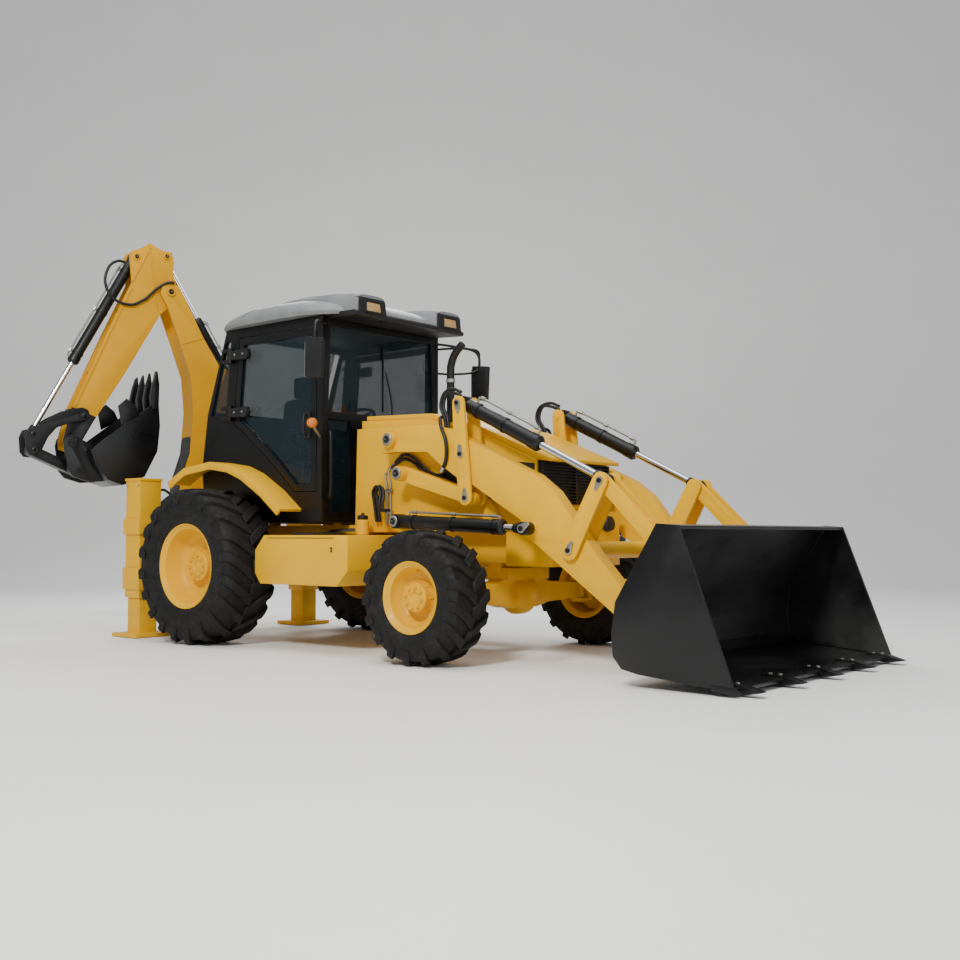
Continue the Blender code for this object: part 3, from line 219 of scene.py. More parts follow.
def hose_rubber(tree):
    """Smooth extruded rubber with a fine grain."""
    rough = node(tree, RANGE, {"Value": pattern(tree, 50.0), "From Min": 0.3, "From Max": 0.7,
        "To Min": 0.42, "To Max": 0.62})
    return colour("070708"), rough.outputs[0], pattern(tree, 400.0, 1.0), 0.2, 0.0006


def grained_plastic(dark, light, low, high):
    """Moulded plastic with a leathery grain."""
    def build(tree):
        patch = node(tree, RANGE, {"Value": pattern(tree, 5.0), "From Min": 0.4, "From Max": 0.7})
        base = node(tree, MIX, {0: patch.outputs[0], 6: colour(dark), 7: colour(light)}, data_type="RGBA")
        rough = node(tree, RANGE, {"Value": pattern(tree, 12.0), "From Min": 0.3, "From Max": 0.7,
            "To Min": low, "To Max": high})
        return base.outputs[2], rough.outputs[0], pattern(tree, 500.0, 2.0), 0.25, 0.0006
    return build


def woven_fabric(tree):
    """Seat cloth: a fine weave that is both tone and relief."""
    place = node(tree, "ShaderNodeTexCoord").outputs["Object"]
    weave = node(tree, "ShaderNodeTexWave",
        {"Vector": place, "Scale": 120.0, "Distortion": 1.0}).outputs["Fac"]
    base = node(tree, MIX, {0: weave, 6: colour("26292c"), 7: colour("33373a")}, data_type="RGBA")
    return base.outputs[2], 0.85, weave, 0.3, 0.0008


def pane(tree):
    """Tinted glass with a slight smear."""
    smear = node(tree, RANGE, {"Value": pattern(tree, 6.0, 5.0), "From Min": 0.4, "From Max": 0.8,
        "To Max": 0.02})
    cloud = node(tree, RANGE, {"Value": pattern(tree, 1.2), "From Min": 0.3, "From Max": 0.7})
    base = node(tree, MIX, {0: cloud.outputs[0], 6: colour("14242b"), 7: colour("1a2c33")}, data_type="RGBA")
    return base.outputs[2], smear.outputs[0], None, 0, 0


def lens(tone):
    """A lamp's lens with moulded ribs."""
    def build(tree):
        place = node(tree, "ShaderNodeTexCoord").outputs["Object"]
        ribs = node(tree, "ShaderNodeTexWave", {"Vector": place, "Scale": 45.0},
            bands_direction="Y").outputs["Fac"]
        pale = node(tree, MATH, {0: ribs, 1: 0.4}, operation="MULTIPLY")
        base = node(tree, MIX, {0: pale.outputs[0], 6: colour(tone), 7: colour("e8b060")}, data_type="RGBA")
        return base.outputs[2], 0.12, ribs, 0.5, 0.003
    return build


# %% [markdown]
# ## Material table
# Each material's constants stand on its shader's own sockets. Fading and dust could be painted by
# hand; noise in object coordinates puts them everywhere at the same real size.

# %% Material table
MATERIALS = {
    # Paint on the main steelwork: a strong warm yellow with soft, slightly dusty highlights.
    "yellow enamel": surface("yellow enamel", enamel("e6ae00", "dba400", "8f7a52", 0.36), Coat_Weight=0.04,
                             Coat_Roughness=0.15, Specular_IOR_Level=0.22),
    # The digging arm's paint: the same yellow made deeper and duller, as painted shade for the arm's sides that
    # face away from the light.
    "amber enamel": surface("amber enamel", enamel("d09600", "c48c00", "8f7a52", 0.40), Coat_Weight=0.03,
                            Coat_Roughness=0.2, Specular_IOR_Level=0.20),
    # Black paint on the cab and cylinders: nearly black, seen by its highlights.
    "black enamel": surface("black enamel", enamel("060607", "0b0b0c", "40382c", 0.34), Coat_Weight=0.05,
                            Coat_Roughness=0.2, Specular_IOR_Level=0.35),
    # Both buckets: black plate with long lighter streaks, part scuff wear and part painted sheen.
    "bucket steel": surface("bucket steel", bucket_steel, Specular_IOR_Level=0.42),
    # Tyres: matt and dusty, so the lugs show by their shadows.
    "tread rubber": surface("tread rubber", tread_rubber, Specular_IOR_Level=0.35),
    # Hoses: black with a narrow soft highlight along their length.
    "hose rubber": surface("hose rubber", hose_rubber),
    # Piston rods: the brightest lines on the machine.
    "hard chrome": surface("hard chrome", hard_chrome, Metallic=1.0),
    # Bolts, washers, pipes and keeper plates: a dull silver.
    "zinc steel": surface("zinc steel", zinc_steel, Metallic=0.9),
    # The roof's moulding: a plain grey that catches the sky light.
    "roof plastic": surface("roof plastic", grained_plastic("707274", "7c7e80", 0.42, 0.58)),
    # Trim, mirrors and handles: grained black.
    "black plastic": surface("black plastic", grained_plastic("08080a", "101011", 0.45, 0.65)),
    # Engine and controls: dark grey, to part them from the black trim.
    "grey plastic": surface("grey plastic", grained_plastic("1f2022", "2a2b2d", 0.5, 0.7)),
    # The seat's cloth: matt, seen through the glass.
    "woven fabric": surface("woven fabric", woven_fabric),
    # Windows: a dark blue-green tint through which the seat and dash still show.
    "tinted glass": surface("tinted glass", pane, Alpha=0.46),
    # Mirror faces: bright metal.
    "mirror glass": surface("mirror glass", hard_chrome, Metallic=1.0),
    # Turn and tail lamps: ribbed orange.
    "amber lens": surface("amber lens", lens("c05c00")),
    # Work lamps: ribbed, with a warm reflector behind.
    "clear lens": surface("clear lens", lens("a88d62")),
}
print(len(MATERIALS), "materials")

# %% [markdown]
# ## Shapes
# Plates, lathe-turned pieces and swept tubes cover almost everything on this machine. A kit
# collects them by the body they ride on and their material, and joins each group into one mesh.

# %% Shape helpers


def circle(centre, radius, sides=32):
    steps = [2 * math.pi * k / sides for k in range(sides)]
    return [(centre[0] + radius * math.cos(a), centre[1] + radius * math.sin(a)) for a in steps]


def capsule(start, end, start_radius, end_radius, sides=16):
    heading = math.atan2(end[1] - start[1], end[0] - start[0])
    points = []
    for centre, radius, first in ((end, end_radius, -0.5), (start, start_radius, 0.5)):
        for k in range(sides + 1):
            angle = heading + math.pi * (first + k / sides)
            points.append((centre[0] + radius * math.cos(angle), centre[1] + radius * math.sin(angle)))
    return points


def plate(outline, low, high, holes=(), axis="Y", bevel=0.0):
    """An outline across axis, with holes, from low to high along axis."""
    place = {"X": lambda a, b, c: (c, a, b), "Y": lambda a, b, c: (a, c, b), "Z": lambda a, b,
        c: (a, b, c)}[axis]
    loops = [list(outline)] + [list(hole) for hole in holes]
    shape = bmesh.new()
    rows = [[shape.verts.new(place(a, b, level)) for loop in loops for a, b in loop] for level in (low, high)]
    for triangle in tessellate_polygon([[Vector((a, b, 0.0)) for a, b in loop] for loop in loops]):
        for row in rows:
            shape.faces.new([row[k] for k in triangle])
    start = 0
    for loop in loops:
        for k in range(len(loop)):
            a, b = start + k, start + (k + 1) % len(loop)
            shape.faces.new([rows[0][a], rows[0][b], rows[1][b], rows[1][a]])
        start += len(loop)
    bmesh.ops.recalc_face_normals(shape, faces=shape.faces)
    return rounded(shape, bevel) if bevel else shape


def rounded(shape, width, segments=2):
    """Round the edges that turn by more than 30 degrees."""
    bmesh.ops.dissolve_limit(shape, angle_limit=0.003, verts=shape.verts, edges=shape.edges)
    sharp = [e for e in shape.edges if len(e.link_faces) == 2 and e.calc_face_angle(0) > math.radians(30)]
    bmesh.ops.bevel(shape, geom=sharp, offset=width, offset_type="OFFSET", segments=segments, profile=0.6,
        affect="EDGES", clamp_overlap=True)
    return shape


def block(x, y, z, bevel=0.004):
    return plate([(x[0], y[0]), (x[1], y[0]), (x[1], y[1]), (x[0], y[1])], z[0], z[1], axis="Z", bevel=bevel)


def lathe(profile, centre=(0, 0, 0), axis=(0, 1, 0), sides=64):
    """A profile of (radius, along) turned about axis through centre."""
    shape = bmesh.new()
    rings = []
    for radius, along in profile:
        if radius < 1e-9:
            rings.append([shape.verts.new((0, 0, along))] * sides)
            continue
        steps = [2 * math.pi * k / sides for k in range(sides)]
        rings.append([shape.verts.new((radius * math.cos(a), radius * math.sin(a), along)) for a in steps])
    for ring, after in zip(rings, rings[1:] + rings[:1]):
        if ring[0] is ring[1] and after[0] is after[1]:
            continue
        for k in range(sides):
            n = (k + 1) % sides
            shape.faces.new(list(dict.fromkeys((ring[k], ring[n], after[n], after[k]))))
    bmesh.ops.recalc_face_normals(shape, faces=shape.faces)
    turn = Vector(axis).to_track_quat("Z", "Y").to_matrix().to_4x4()
    shape.transform(Matrix.Translation(centre) @ turn)
    return shape


def bar(start, end, radius, sides=24, bevel=0.0015):
    start, end = Vector(start), Vector(end)
    length = (end - start).length
    edge = min(bevel, radius * 0.3)
    profile = [(0, 0), (radius - edge, 0), (radius, edge), (radius, length - edge), (radius - edge, length),
        (0, length)]
    return lathe(profile, start, end - start, sides)


def smooth_path(points, per=8):
    """A curve through the points, as in a laid hose."""
    points = [Vector(p) for p in points]
    padded = [2 * points[0] - points[1]] + points + [2 * points[-1] - points[-2]]
    made = []
    for a, b, c, d in zip(padded, padded[1:], padded[2:], padded[3:]):
        for k in range(per):
            t = k / per
            made.append(0.5 * (2 * b + (c - a) * t + (2 * a - 5 * b + 4 * c - d) * t ** 2
                + (3 * b - a - 3 * c + d) * t ** 3))
    return made + [points[-1]]


def tube(points, radius, sides=12, smooth=True):
    """A round hose or pipe along points."""
    path = smooth_path(points) if smooth else [Vector(p) for p in points]
    shape = bmesh.new()
    side = (path[1] - path[0]).orthogonal().normalized()
    rings = []
    for k, point in enumerate(path):
        along = (path[min(k + 1, len(path) - 1)] - path[max(k - 1, 0)]).normalized()
        side = (side - along * side.dot(along)).normalized()
        up = along.cross(side)
        rings.append([shape.verts.new(point + (side * a + up * b)) for a, b in circle((0, 0), radius, sides)])
    for ring, after in zip(rings, rings[1:]):
        for k in range(sides):
            n = (k + 1) % sides
            shape.faces.new([ring[k], ring[n], after[n], after[k]])
    shape.faces.new(rings[0])
    shape.faces.new(rings[-1])
    bmesh.ops.recalc_face_normals(shape, faces=shape.faces)
    return shape


def layers(rows):
    """A closed skin over rows of the same number of points."""
    shape = bmesh.new()
    rows = [[shape.verts.new(p) for p in row] for row in rows]
    for row, after in zip(rows, rows[1:]):
        for k in range(len(row)):
            n = (k + 1) % len(row)
            shape.faces.new([row[k], row[n], after[n], after[k]])
    shape.faces.new(rows[0])
    shape.faces.new(rows[-1])
    bmesh.ops.recalc_face_normals(shape, faces=shape.faces)
    return shape


def flipped(shape):
    """The same shape on the machine's other side."""
    copy = shape.copy()
    copy.transform(Matrix.Scale(-1, 4, (0, 1, 0)))
    bmesh.ops.reverse_faces(copy, faces=copy.faces)
    return copy


def joined(*shapes):
    """The shapes as one."""
    whole = bmesh.new()
    for shape in shapes:
        scratch = bpy.data.meshes.new("scratch")
        shape.to_mesh(scratch)
        whole.from_mesh(scratch)
        bpy.data.meshes.remove(scratch)
        shape.free()
    return whole


def in_scene(name, data):
    made = bpy.data.objects.new(name, data)
    bpy.context.scene.collection.objects.link(made)
    return made


def painted(name, shape, material):
    """Shape as a smooth mesh of one material, in the scene."""
    mesh = bpy.data.meshes.new(name)
    shape.to_mesh(mesh)
    shape.free()
    mesh.materials.append(MATERIALS[material])
    mesh.shade_smooth()
    return in_scene(name, mesh)


def shown(name, shape, body, material, angle=35):
    """Make shape, given in the row's frame, a piece that rides on body."""
    piece = painted(name, shape, material)
    piece.data.set_sharp_from_angle(angle=math.radians(angle))
    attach(piece, body)
    return piece


class Kit:
    """Shapes collected by body and material, and the CAD nodes they stand for."""

    def __init__(self):
        self.groups = {}

    def add(self, body, material, *shapes, place=MACHINE, node=None):
        parts, nodes = self.groups.setdefault((body, material), ([], set()))
        for shape in shapes:
            shape.transform(place)
            parts.append(shape)
        if node:
            nodes.add(node)

    def build(self):
        for (body, material), (parts, nodes) in self.groups.items():
            name = f"{body}.{material}".replace(" ", "_")
            piece = shown(name, joined(*parts), body, material)
            if nodes:
                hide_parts(*sorted(nodes))
        print(len(self.groups), "groups built")


kit = Kit()


def both(*shapes):
    return [s for shape in shapes for s in (shape, flipped(shape))]


# %% [markdown]
# ## Rounded copies of the CAD plates
# The steelwork is shown as a copy of its CAD solid with its edges rounded by a few millimetres,
# which is what catches the light along a real edge.

# %% Rounded steelwork
STEELWORK = {
    "yellow enamel": ["chassis_frame", "bonnet", "bonnet_sides", "fuel_tank", "hydraulic_tank",
        "fender_right", "fender_left",
                      "rear_axle", "front_axle", "steering_knuckle_right", "steering_knuckle_left",
                          "loader_arms",
                      "bell_cranks", "tilt_lever_right", "tilt_lever_left", "lower_link_right",
                          "lower_link_left",
                      "tipping_link_right", "tipping_link_left", "backhoe_carriage", "swing_post",
                      "stabiliser_leg_right", "stabiliser_leg_left"],
    # The boom and dipper get the darker yellow: painted shade on sides turned away from the light.
    "amber enamel": ["boom", "dipper"],
    "black enamel": ["cab_frame", "cab_door_right", "cab_door_left", "idler_links", "bucket_link"],
    "bucket steel": ["loader_bucket", "hoe_bucket"],
    "grey plastic": ["engine_block"],
}
ROUNDING = {"loader_bucket": 0.0025, "hoe_bucket": 0.0025, "bonnet_sides": 0.006, "bonnet": 0.008,
    "loader_arms": 0.005, "boom": 0.005, "dipper": 0.004, "fuel_tank": 0.006, "hydraulic_tank": 0.006}
bodies = frame["record"]["behaviour"]["bodies"]
body_of = {name: body for body, names in bodies.items() for name in names}


def rounded_copy(name, width):
    """The CAD node's mesh with rounded edges; the plain mesh if rounding spoils it."""
    source = frame["nodes"][name]
    shape = bmesh.new()
    shape.from_mesh(source.data)
    shape.transform(source.matrix_world)
    bmesh.ops.remove_doubles(shape, verts=shape.verts, dist=1e-5)
    rounded(shape, width)
    low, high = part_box(name)
    tall = max(v.co.z for v in shape.verts) - high[2]
    wide = max(v.co.x for v in shape.verts) - high[0]
    if max(tall, wide) > 0.003:
        print("kept plain", name)
        shape.free()
        shape = bmesh.new()
        shape.from_mesh(source.data)
        shape.transform(source.matrix_world)
    return shape


for material, names in STEELWORK.items():
    for name in names:
        kit.add(body_of[name], material, rounded_copy(name, ROUNDING.get(name, 0.0035)),
            place=Matrix.Identity(4), node=name)

# %% [markdown]
# ## Repeats made with Geometry Nodes
# Tyre lugs, wheel nuts and grille slats are one piece repeated many times. A node group with named
# inputs places the copies; the result is baked to a plain mesh.

# %% Repeat groups


def interface(group, name, kind, way="INPUT", value=None):
    made = group.interface.new_socket(name=name, in_out=way, socket_type=kind)
    if value is not None:
        made.default_value = value


def repeat_group(name, sockets):
    """A node group for copies of an object, and its input node; sockets are its own inputs."""
    group = bpy.data.node_groups.new(name, "GeometryNodeTree")
    interface(group, "Geometry", "NodeSocketGeometry", "OUTPUT")
    shared = [("Piece", "NodeSocketObject", None), ("Count", "NodeSocketInt", 8),
        ("Material", "NodeSocketMaterial", None)]
    for label, kind, value in shared + sockets:
        interface(group, label, kind, value=value)
    return group, node(group, "NodeGroupInput")


def place_copies(group, start, inputs):
    """The piece on every point, made real and painted, handed to the group's output."""
    piece = node(group, "GeometryNodeObjectInfo", {"Object": start.outputs["Piece"]})
    copies = node(group, "GeometryNodeInstanceOnPoints", {"Instance": piece.outputs["Geometry"], **inputs})
    real = node(group, "GeometryNodeRealizeInstances", {"Geometry": copies.outputs["Instances"]})
    coated = node(group, "GeometryNodeSetMaterial", {
        "Geometry": real.outputs["Geometry"], "Material": start.outputs["Material"]})
    node(group, "NodeGroupOutput", {"Geometry": coated.outputs["Geometry"]})
    return group


def ring_group():
    """Copies of an object turned about the Y axis."""
    group, start = repeat_group("ring of copies", [("Phase", "NodeSocketFloat", 0.0)])
    points = node(group, "GeometryNodeMeshLine", {"Count": start.outputs["Count"], "Offset": (0, 0, 0)})
    step = node(group, MATH, {0: 2 * math.pi, 1: start.outputs["Count"]}, operation="DIVIDE")
    index = node(group, "GeometryNodeInputIndex")
    angle = node(group, MATH, {0: index.outputs[0], 1: step.outputs[0], 2: start.outputs["Phase"]},
        operation="MULTIPLY_ADD")
    turn = node(group, "ShaderNodeCombineXYZ", {"Y": angle.outputs[0]})
    return place_copies(group, start, {"Points": points.outputs["Mesh"], "Rotation": turn.outputs["Vector"]})


def row_group():
    """Copies of an object along a straight line."""
    group, start = repeat_group("row of copies",
        [("Start", "NodeSocketVector", None), ("Step", "NodeSocketVector", None)])
    points = node(group, "GeometryNodeMeshLine", {
        "Count": start.outputs["Count"], "Start Location": start.outputs["Start"],
            "Offset": start.outputs["Step"]})
    return place_copies(group, start, {"Points": points.outputs["Mesh"]})


RING, ROW = ring_group(), row_group()


def repeated(group, shape, material, **inputs):
    """Bake copies of shape made by the node group, and return them as one shape."""
    mesh = bpy.data.meshes.new("one of many")
    shape.to_mesh(mesh)
    shape.free()
    one, carrier = in_scene("one of many", mesh), in_scene("carrier", bpy.data.meshes.new("carrier"))
    modifier = carrier.modifiers.new("repeat", "NODES")
    modifier.node_group = group
    values = {"Piece": one, "Material": MATERIALS[material], **inputs}
    for item in group.interface.items_tree:
        if item.item_type == "SOCKET" and item.in_out == "INPUT" and item.name in values:
            modifier[item.identifier] = values[item.name]
    baked = bpy.data.meshes.new_from_object(carrier.evaluated_get(bpy.context.evaluated_depsgraph_get()))
    carrier.modifiers.remove(modifier)
    result = bmesh.new()
    result.from_mesh(baked)
    for thing in (one, carrier):
        bpy.data.objects.remove(thing, do_unlink=True)
    return result


# %% [markdown]
# ## Wheels
# A tyre is a turned carcass with chunky angled lugs, staggered from side to side. Lugs could be a
# bump pattern, but real ones throw real shadows, so one lug is shaped and the ring group repeats it.

# %% Tyres


def lug(radius, half, crown, sweep, width, inner, drop):
    """One tread bar, from just past the middle, over the shoulder and down the wall."""
    run = [(inner, radius - crown), (half * 0.25, radius - crown), (half * 0.55, radius - crown),
        (half * 0.80, radius - crown - 0.004), (half * 0.93, radius - crown - 0.022),
        (half * 0.985, radius - crown - 0.060), (half * 1.0, radius - crown - drop)]
    tops = [(inner, radius), (half * 0.25, radius), (half * 0.55, radius - 0.001),
        (half * 0.84, radius - 0.007), (half * 1.00, radius - 0.030), (half * 1.045, radius - 0.065),
        (half * 1.035, radius - crown - drop)]
    shape = bmesh.new()
    rings = []
    for k, ((y, low), (top_y, high)) in enumerate(zip(run, tops)):
        share = max(0.0, (y - inner) / (half - inner))
        angle = sweep * (1 - share)
        wide = width * (1.12 if k < 2 else 1.0) * (1.0 if k < 5 else 0.92)
        ring = []
        for along, r, q in ((-0.5, low - 0.012, y), (-0.40, high, top_y), (0.40, high, top_y),
                (0.5, low - 0.012, y)):
            a = angle + along * wide / radius
            ring.append(shape.verts.new((r * math.sin(a), q, r * math.cos(a))))
        rings.append(ring)
    for ring, after in zip(rings, rings[1:]):
        for k in range(4):
            n = (k + 1) % 4
            shape.faces.new([ring[k], ring[n], after[n], after[k]])
    shape.faces.new(rings[0])
    shape.faces.new(rings[-1])
    bmesh.ops.recalc_face_normals(shape, faces=shape.faces)
    edges = [e for e in shape.edges if e.calc_face_angle(0) > math.radians(40)]
    bmesh.ops.bevel(shape, geom=edges, offset=0.005, offset_type="OFFSET", segments=1, affect="EDGES",
        clamp_overlap=True)
    return shape


def tyre(node_name, radius, half, rim, rim_half, lugs, sweep, lug_width):
    crown = 0.030 if radius > 0.5 else 0.026
    wall = (rim + radius) / 2
    outer = [(rim - 0.028, rim_half - 0.030), (rim + 0.004, rim_half - 0.008),
        (rim + 0.020, rim_half + 0.008), (rim + 0.045, rim_half + 0.018), (wall, half * 0.97),
        (radius - 0.085, half * 0.985), (radius - crown - 0.030, half * 0.95),
        (radius - crown - 0.006, half * 0.82), (radius - crown, half * 0.5), (radius - crown + 0.002, 0.0)]
    carcass = lathe(outer + [(r, -y) for r, y in outer[-2::-1]], sides=96)
    sidewall = [(rim + 0.060, half * 0.93), (rim + 0.063, half * 0.95), (rim + 0.070, half * 0.955),
        (rim + 0.073, half * 0.94)]
    bead = lathe(sidewall, sides=96)
    far_bead = flipped(bead)
    drop = 0.085 if radius > 0.5 else 0.065
    right = lug(radius, half, crown, sweep, lug_width, -0.012, drop)
    left = flipped(right)
    treads = [repeated(RING, right, "tread rubber", Count=lugs, Phase=0.0),
        repeated(RING, left, "tread rubber", Count=lugs, Phase=math.pi / lugs)]
    centre = middle(node_name)
    kit.add(body_of[node_name], "tread rubber", carcass, bead, far_bead, *treads,
        place=Matrix.Translation(centre), node=node_name)
    return centre


REAR = dict(radius=0.610, half=0.235, rim=0.328, rim_half=0.203, lugs=20, sweep=0.30, lug_width=0.088)
FRONT = dict(radius=0.445, half=0.175, rim=0.235, rim_half=0.153, lugs=17, sweep=0.30, lug_width=0.076)
WHEELS = {}
for end, sizes in (("rear", REAR), ("front", FRONT)):
    for word in ("right", "left"):
        WHEELS[end, word] = tyre(f"{end}_tyre_{word}", **sizes)
print("tyres at", {k: [round(c, 3) for c in v] for k, v in WHEELS.items()})

# %% [markdown]
# ## Rims
# A rim is pressed steel: flange, bead seat, a deep well and a bolted disc. It could be built face by
# face, but turning one profile gives every lip at once.

# %% Rims


def nut(radius, at, reach, hexagon=0.014):
    """A wheel nut on its stud, at this radius from the wheel's axis."""
    head = lathe([(0, 0), (hexagon, 0), (hexagon, 0.014), (hexagon * 0.8, 0.018), (0, 0.018)],
        (0, at, radius), sides=6)
    stud = bar((0, at, radius), (0, at + reach, radius), 0.007, 12)
    return joined(head, stud)


def rim(end, word, side, flange, half, disc, hub, hub_out, nuts):
    seat, inside = flange - 0.030, flange - 0.040
    profile = [(0.0, hub_out - 0.012), (hub * 0.34, hub_out - 0.012), (hub * 0.38, hub_out - 0.004),
        (hub * 0.42, hub_out), (hub * 0.90, hub_out), (hub, hub_out - 0.010), (hub, disc + 0.030),
        (hub * 1.06, disc + 0.012), (hub * 1.14, disc), (inside * 0.78, disc),
        (inside * 0.86, disc + 0.010), (inside * 0.93, disc + 0.040), (inside * 0.985, half - 0.075),
        (inside, half - 0.055), (inside + 0.004, half - 0.030), (flange - 0.012, half - 0.014),
        (flange - 0.004, half - 0.002), (flange + 0.001, half), (flange + 0.004, half - 0.003),
        (flange + 0.003, half - 0.009), (seat, half - 0.028), (seat, 0.030 - half), (flange, 0.009 - half),
        (flange, -half), (flange - 0.008, -half), (inside, 0.03 - half), (inside * 0.99, disc + 0.020),
        (inside * 0.9, disc - 0.012), (0.0, disc - 0.014)]
    wheel = lathe(profile, sides=96)
    ring = repeated(RING, nut(hub * 0.70, hub_out - 0.002, 0.026), "yellow enamel", Count=nuts, Phase=0.2)
    outer = repeated(RING, nut(hub * 1.02, disc + 0.004, 0.034, 0.012), "yellow enamel", Count=nuts,
        Phase=0.0)
    valve = bar((0, disc + 0.02, inside * 0.90), (0, disc + 0.065, inside * 0.86), 0.006, 12)
    shapes = [wheel, ring, outer, valve]
    if side < 0:
        shapes = [flipped(shape) for shape in shapes]
    centre = WHEELS[end, word]
    kit.add(body_of[f"{end}_rim_{word}"], "yellow enamel", *shapes, place=Matrix.Translation(centre),
        node=f"{end}_rim_{word}")


for word, side in (("right", -1), ("left", 1)):
    rim("rear", word, side, flange=0.328, half=0.203, disc=0.014, hub=0.120, hub_out=0.085, nuts=10)
    rim("front", word, side, flange=0.235, half=0.153, disc=0.024, hub=0.098, hub_out=0.105, nuts=8)
print("rims on", len(WHEELS), "wheels")

# %% [markdown]
# ## Hydraulic cylinders
# A black barrel with a gland nut and welded eyes, a chromed rod, and a steel feed pipe clamped
# along the barrel.

# %% Cylinders


def ram(barrel, piston, start, end, y, length, radius, half, rod_half, rod_length, place, pipe=None,
        gap=0.022):
    """A cylinder in the side view from start to end; pipe is the side its feed pipe is on."""
    a, b = Vector((start[0], y, start[1])), Vector((end[0], y, end[1]))
    along = (b - a).normalized()
    print(barrel, "is", round((b - a).length, 3), "m from pin to pin")
    gland = [(0.0, 0.035), (radius * 0.96, 0.035), (radius, 0.042), (radius, length - 0.075),
        (radius * 1.10, length - 0.070), (radius * 1.10, length - 0.020), (radius * 0.98, length - 0.012),
        (radius * 0.80, length - 0.002), (radius * 0.56, length), (radius * 0.53, length - 0.02),
        (0.0, length - 0.02)]
    eye = lathe([(0.0, -half), (radius * 1.02, -half), (radius * 1.07, -half + 0.004),
        (radius * 1.07, half - 0.004), (radius * 1.02, half), (0.0, half)], a, (0, 1, 0), 40)
    body, rod_body = body_of[barrel], body_of[piston]
    kit.add(body, "black enamel", lathe(gland, a, along, 48), eye, place=place, node=barrel)
    inner = rod_length - 0.05
    chrome = lathe([(0.0, -inner), (radius * 0.5, -inner), (radius * 0.5, -radius * 0.7),
        (0.0, -radius * 0.7)], b, along, 32)
    kit.add(rod_body, "hard chrome", chrome, place=place, node=piston)
    knob = lathe([(0.0, -rod_half), (radius * 0.86, -rod_half), (radius * 0.9, -rod_half + 0.004),
        (radius * 0.9, rod_half - 0.004), (radius * 0.86, rod_half), (0.0, rod_half)], b, (0, 1, 0), 40)
    neck = lathe([(0.0, -radius * 1.9), (radius * 0.62, -radius * 1.9), (radius * 0.72, -radius * 1.5),
        (radius * 0.78, 0), (0.0, 0)], b, along, 32)
    kit.add(rod_body, "black enamel", knob, neck, place=place)
    if pipe is None:
        return
    across = Vector(pipe).normalized()
    offset = across * (radius + gap)
    first, last = a + along * 0.10, a + along * (length - 0.045)
    line = [first + across * radius * 0.7, first + offset * 0.95, first + offset + along * 0.03,
        last + offset - along * 0.03, last + offset * 0.97, last + across * radius * 0.8]
    kit.add(body, "zinc steel", tube(line, 0.008, 10, smooth=False), place=place)
    for share in (0.06, 0.5, 0.94):
        spot = first + (last - first) * share + offset
        kit.add(body, "zinc steel", bar(spot - along * 0.018, spot + along * 0.018, 0.015, 6), place=place)
        kit.add(body, "black enamel",
            lathe([(radius + 0.001, -0.012), (radius + 0.004, -0.012), (radius + 0.004, 0.012),
            (radius + 0.001, 0.012)], a + along * ((first + (last - first) * share - a).length), along, 40),
            place=place)


LINK_Y, LIFT_Y = 0.580, 0.702
LEVER_TOP, CRANK_TOP, LIFT_REAR, LIFT_FRONT = (2.388, 1.757), (3.549, 1.191), (1.872, 0.950), (3.000, 0.895)
for word, side in (("right", -1), ("left", 1)):
    ram(f"tilt_cylinder_{word}", f"tilt_rod_{word}", LEVER_TOP, CRANK_TOP, side * LINK_Y, length=0.720,
        radius=0.050, half=0.030, rod_half=0.020, rod_length=0.760, place=MACHINE, pipe=(0.4, 0, 0.9),
        gap=0.040)
    ram(f"lift_cylinder_{word}", f"lift_rod_{word}", LIFT_REAR, LIFT_FRONT, side * LIFT_Y, length=0.960,
        radius=0.048, half=0.048, rod_half=0.045, rod_length=1.030, place=MACHINE, pipe=(0.05, 0, 1))
BOOM_LOW, BOOM_TOP, DIP_LOW, DIP_TOP = (-0.070, 1.180), (-0.030, 2.130), (-0.230, 2.300), (0.454, 3.430)
HOE_TOP, ROD_EYE = (0.736, 3.390), (1.630, 1.720)
ram("boom_cylinder", "boom_rod", BOOM_LOW, BOOM_TOP, 0.0, length=0.780, radius=0.050, half=0.040,
    rod_half=0.030, rod_length=0.860, place=ARM)
ram("dipper_cylinder", "dipper_rod", DIP_LOW, DIP_TOP, 0.0, length=0.700, radius=0.045, half=0.040,
    rod_half=0.030, rod_length=0.715, place=ARM, pipe=(-0.8, 0.4, 0.3))
ram("hoe_cylinder", "hoe_rod", HOE_TOP, ROD_EYE, 0.0, length=1.150, radius=0.047, half=0.040,
    rod_half=0.030, rod_length=1.170, place=ARM, pipe=(0.9, 0.0, 0.4))

# %% [markdown]
# ## Pins and keeper plates
# Every joint pin shows a bright washer ring with a dark pin end; the levers and cranks have
# teardrop keeper plates with one small bolt.

# %% Pins


def pin_ring(body, centre, y, radius, place=MACHINE, side=None, metal="zinc steel"):
    """A washer ring and pin end on the face at y, looking outward."""
    out = math.copysign(1.0, y if side is None else side)
    base = (centre[0], y, centre[1])
    ring = lathe([(radius * 0.62, 0), (radius, 0), (radius, 0.006), (radius * 0.93, 0.009),
        (radius * 0.62, 0.009)], base, (0, out, 0), 40)
    end = lathe([(0, 0), (radius * 0.60, 0), (radius * 0.60, 0.010), (radius * 0.52, 0.014), (0, 0.014)],
        base, (0, out, 0), 32)
    kit.add(body, metal, ring, place=place)
    kit.add(body, "black enamel", end, place=place)
    nipple = lathe([(0, 0.014), (0.005, 0.014), (0.005, 0.022), (0.003, 0.026), (0, 0.026)], base,
        (0, out, 0), 12)
    kit.add(body, metal, nipple, place=place)


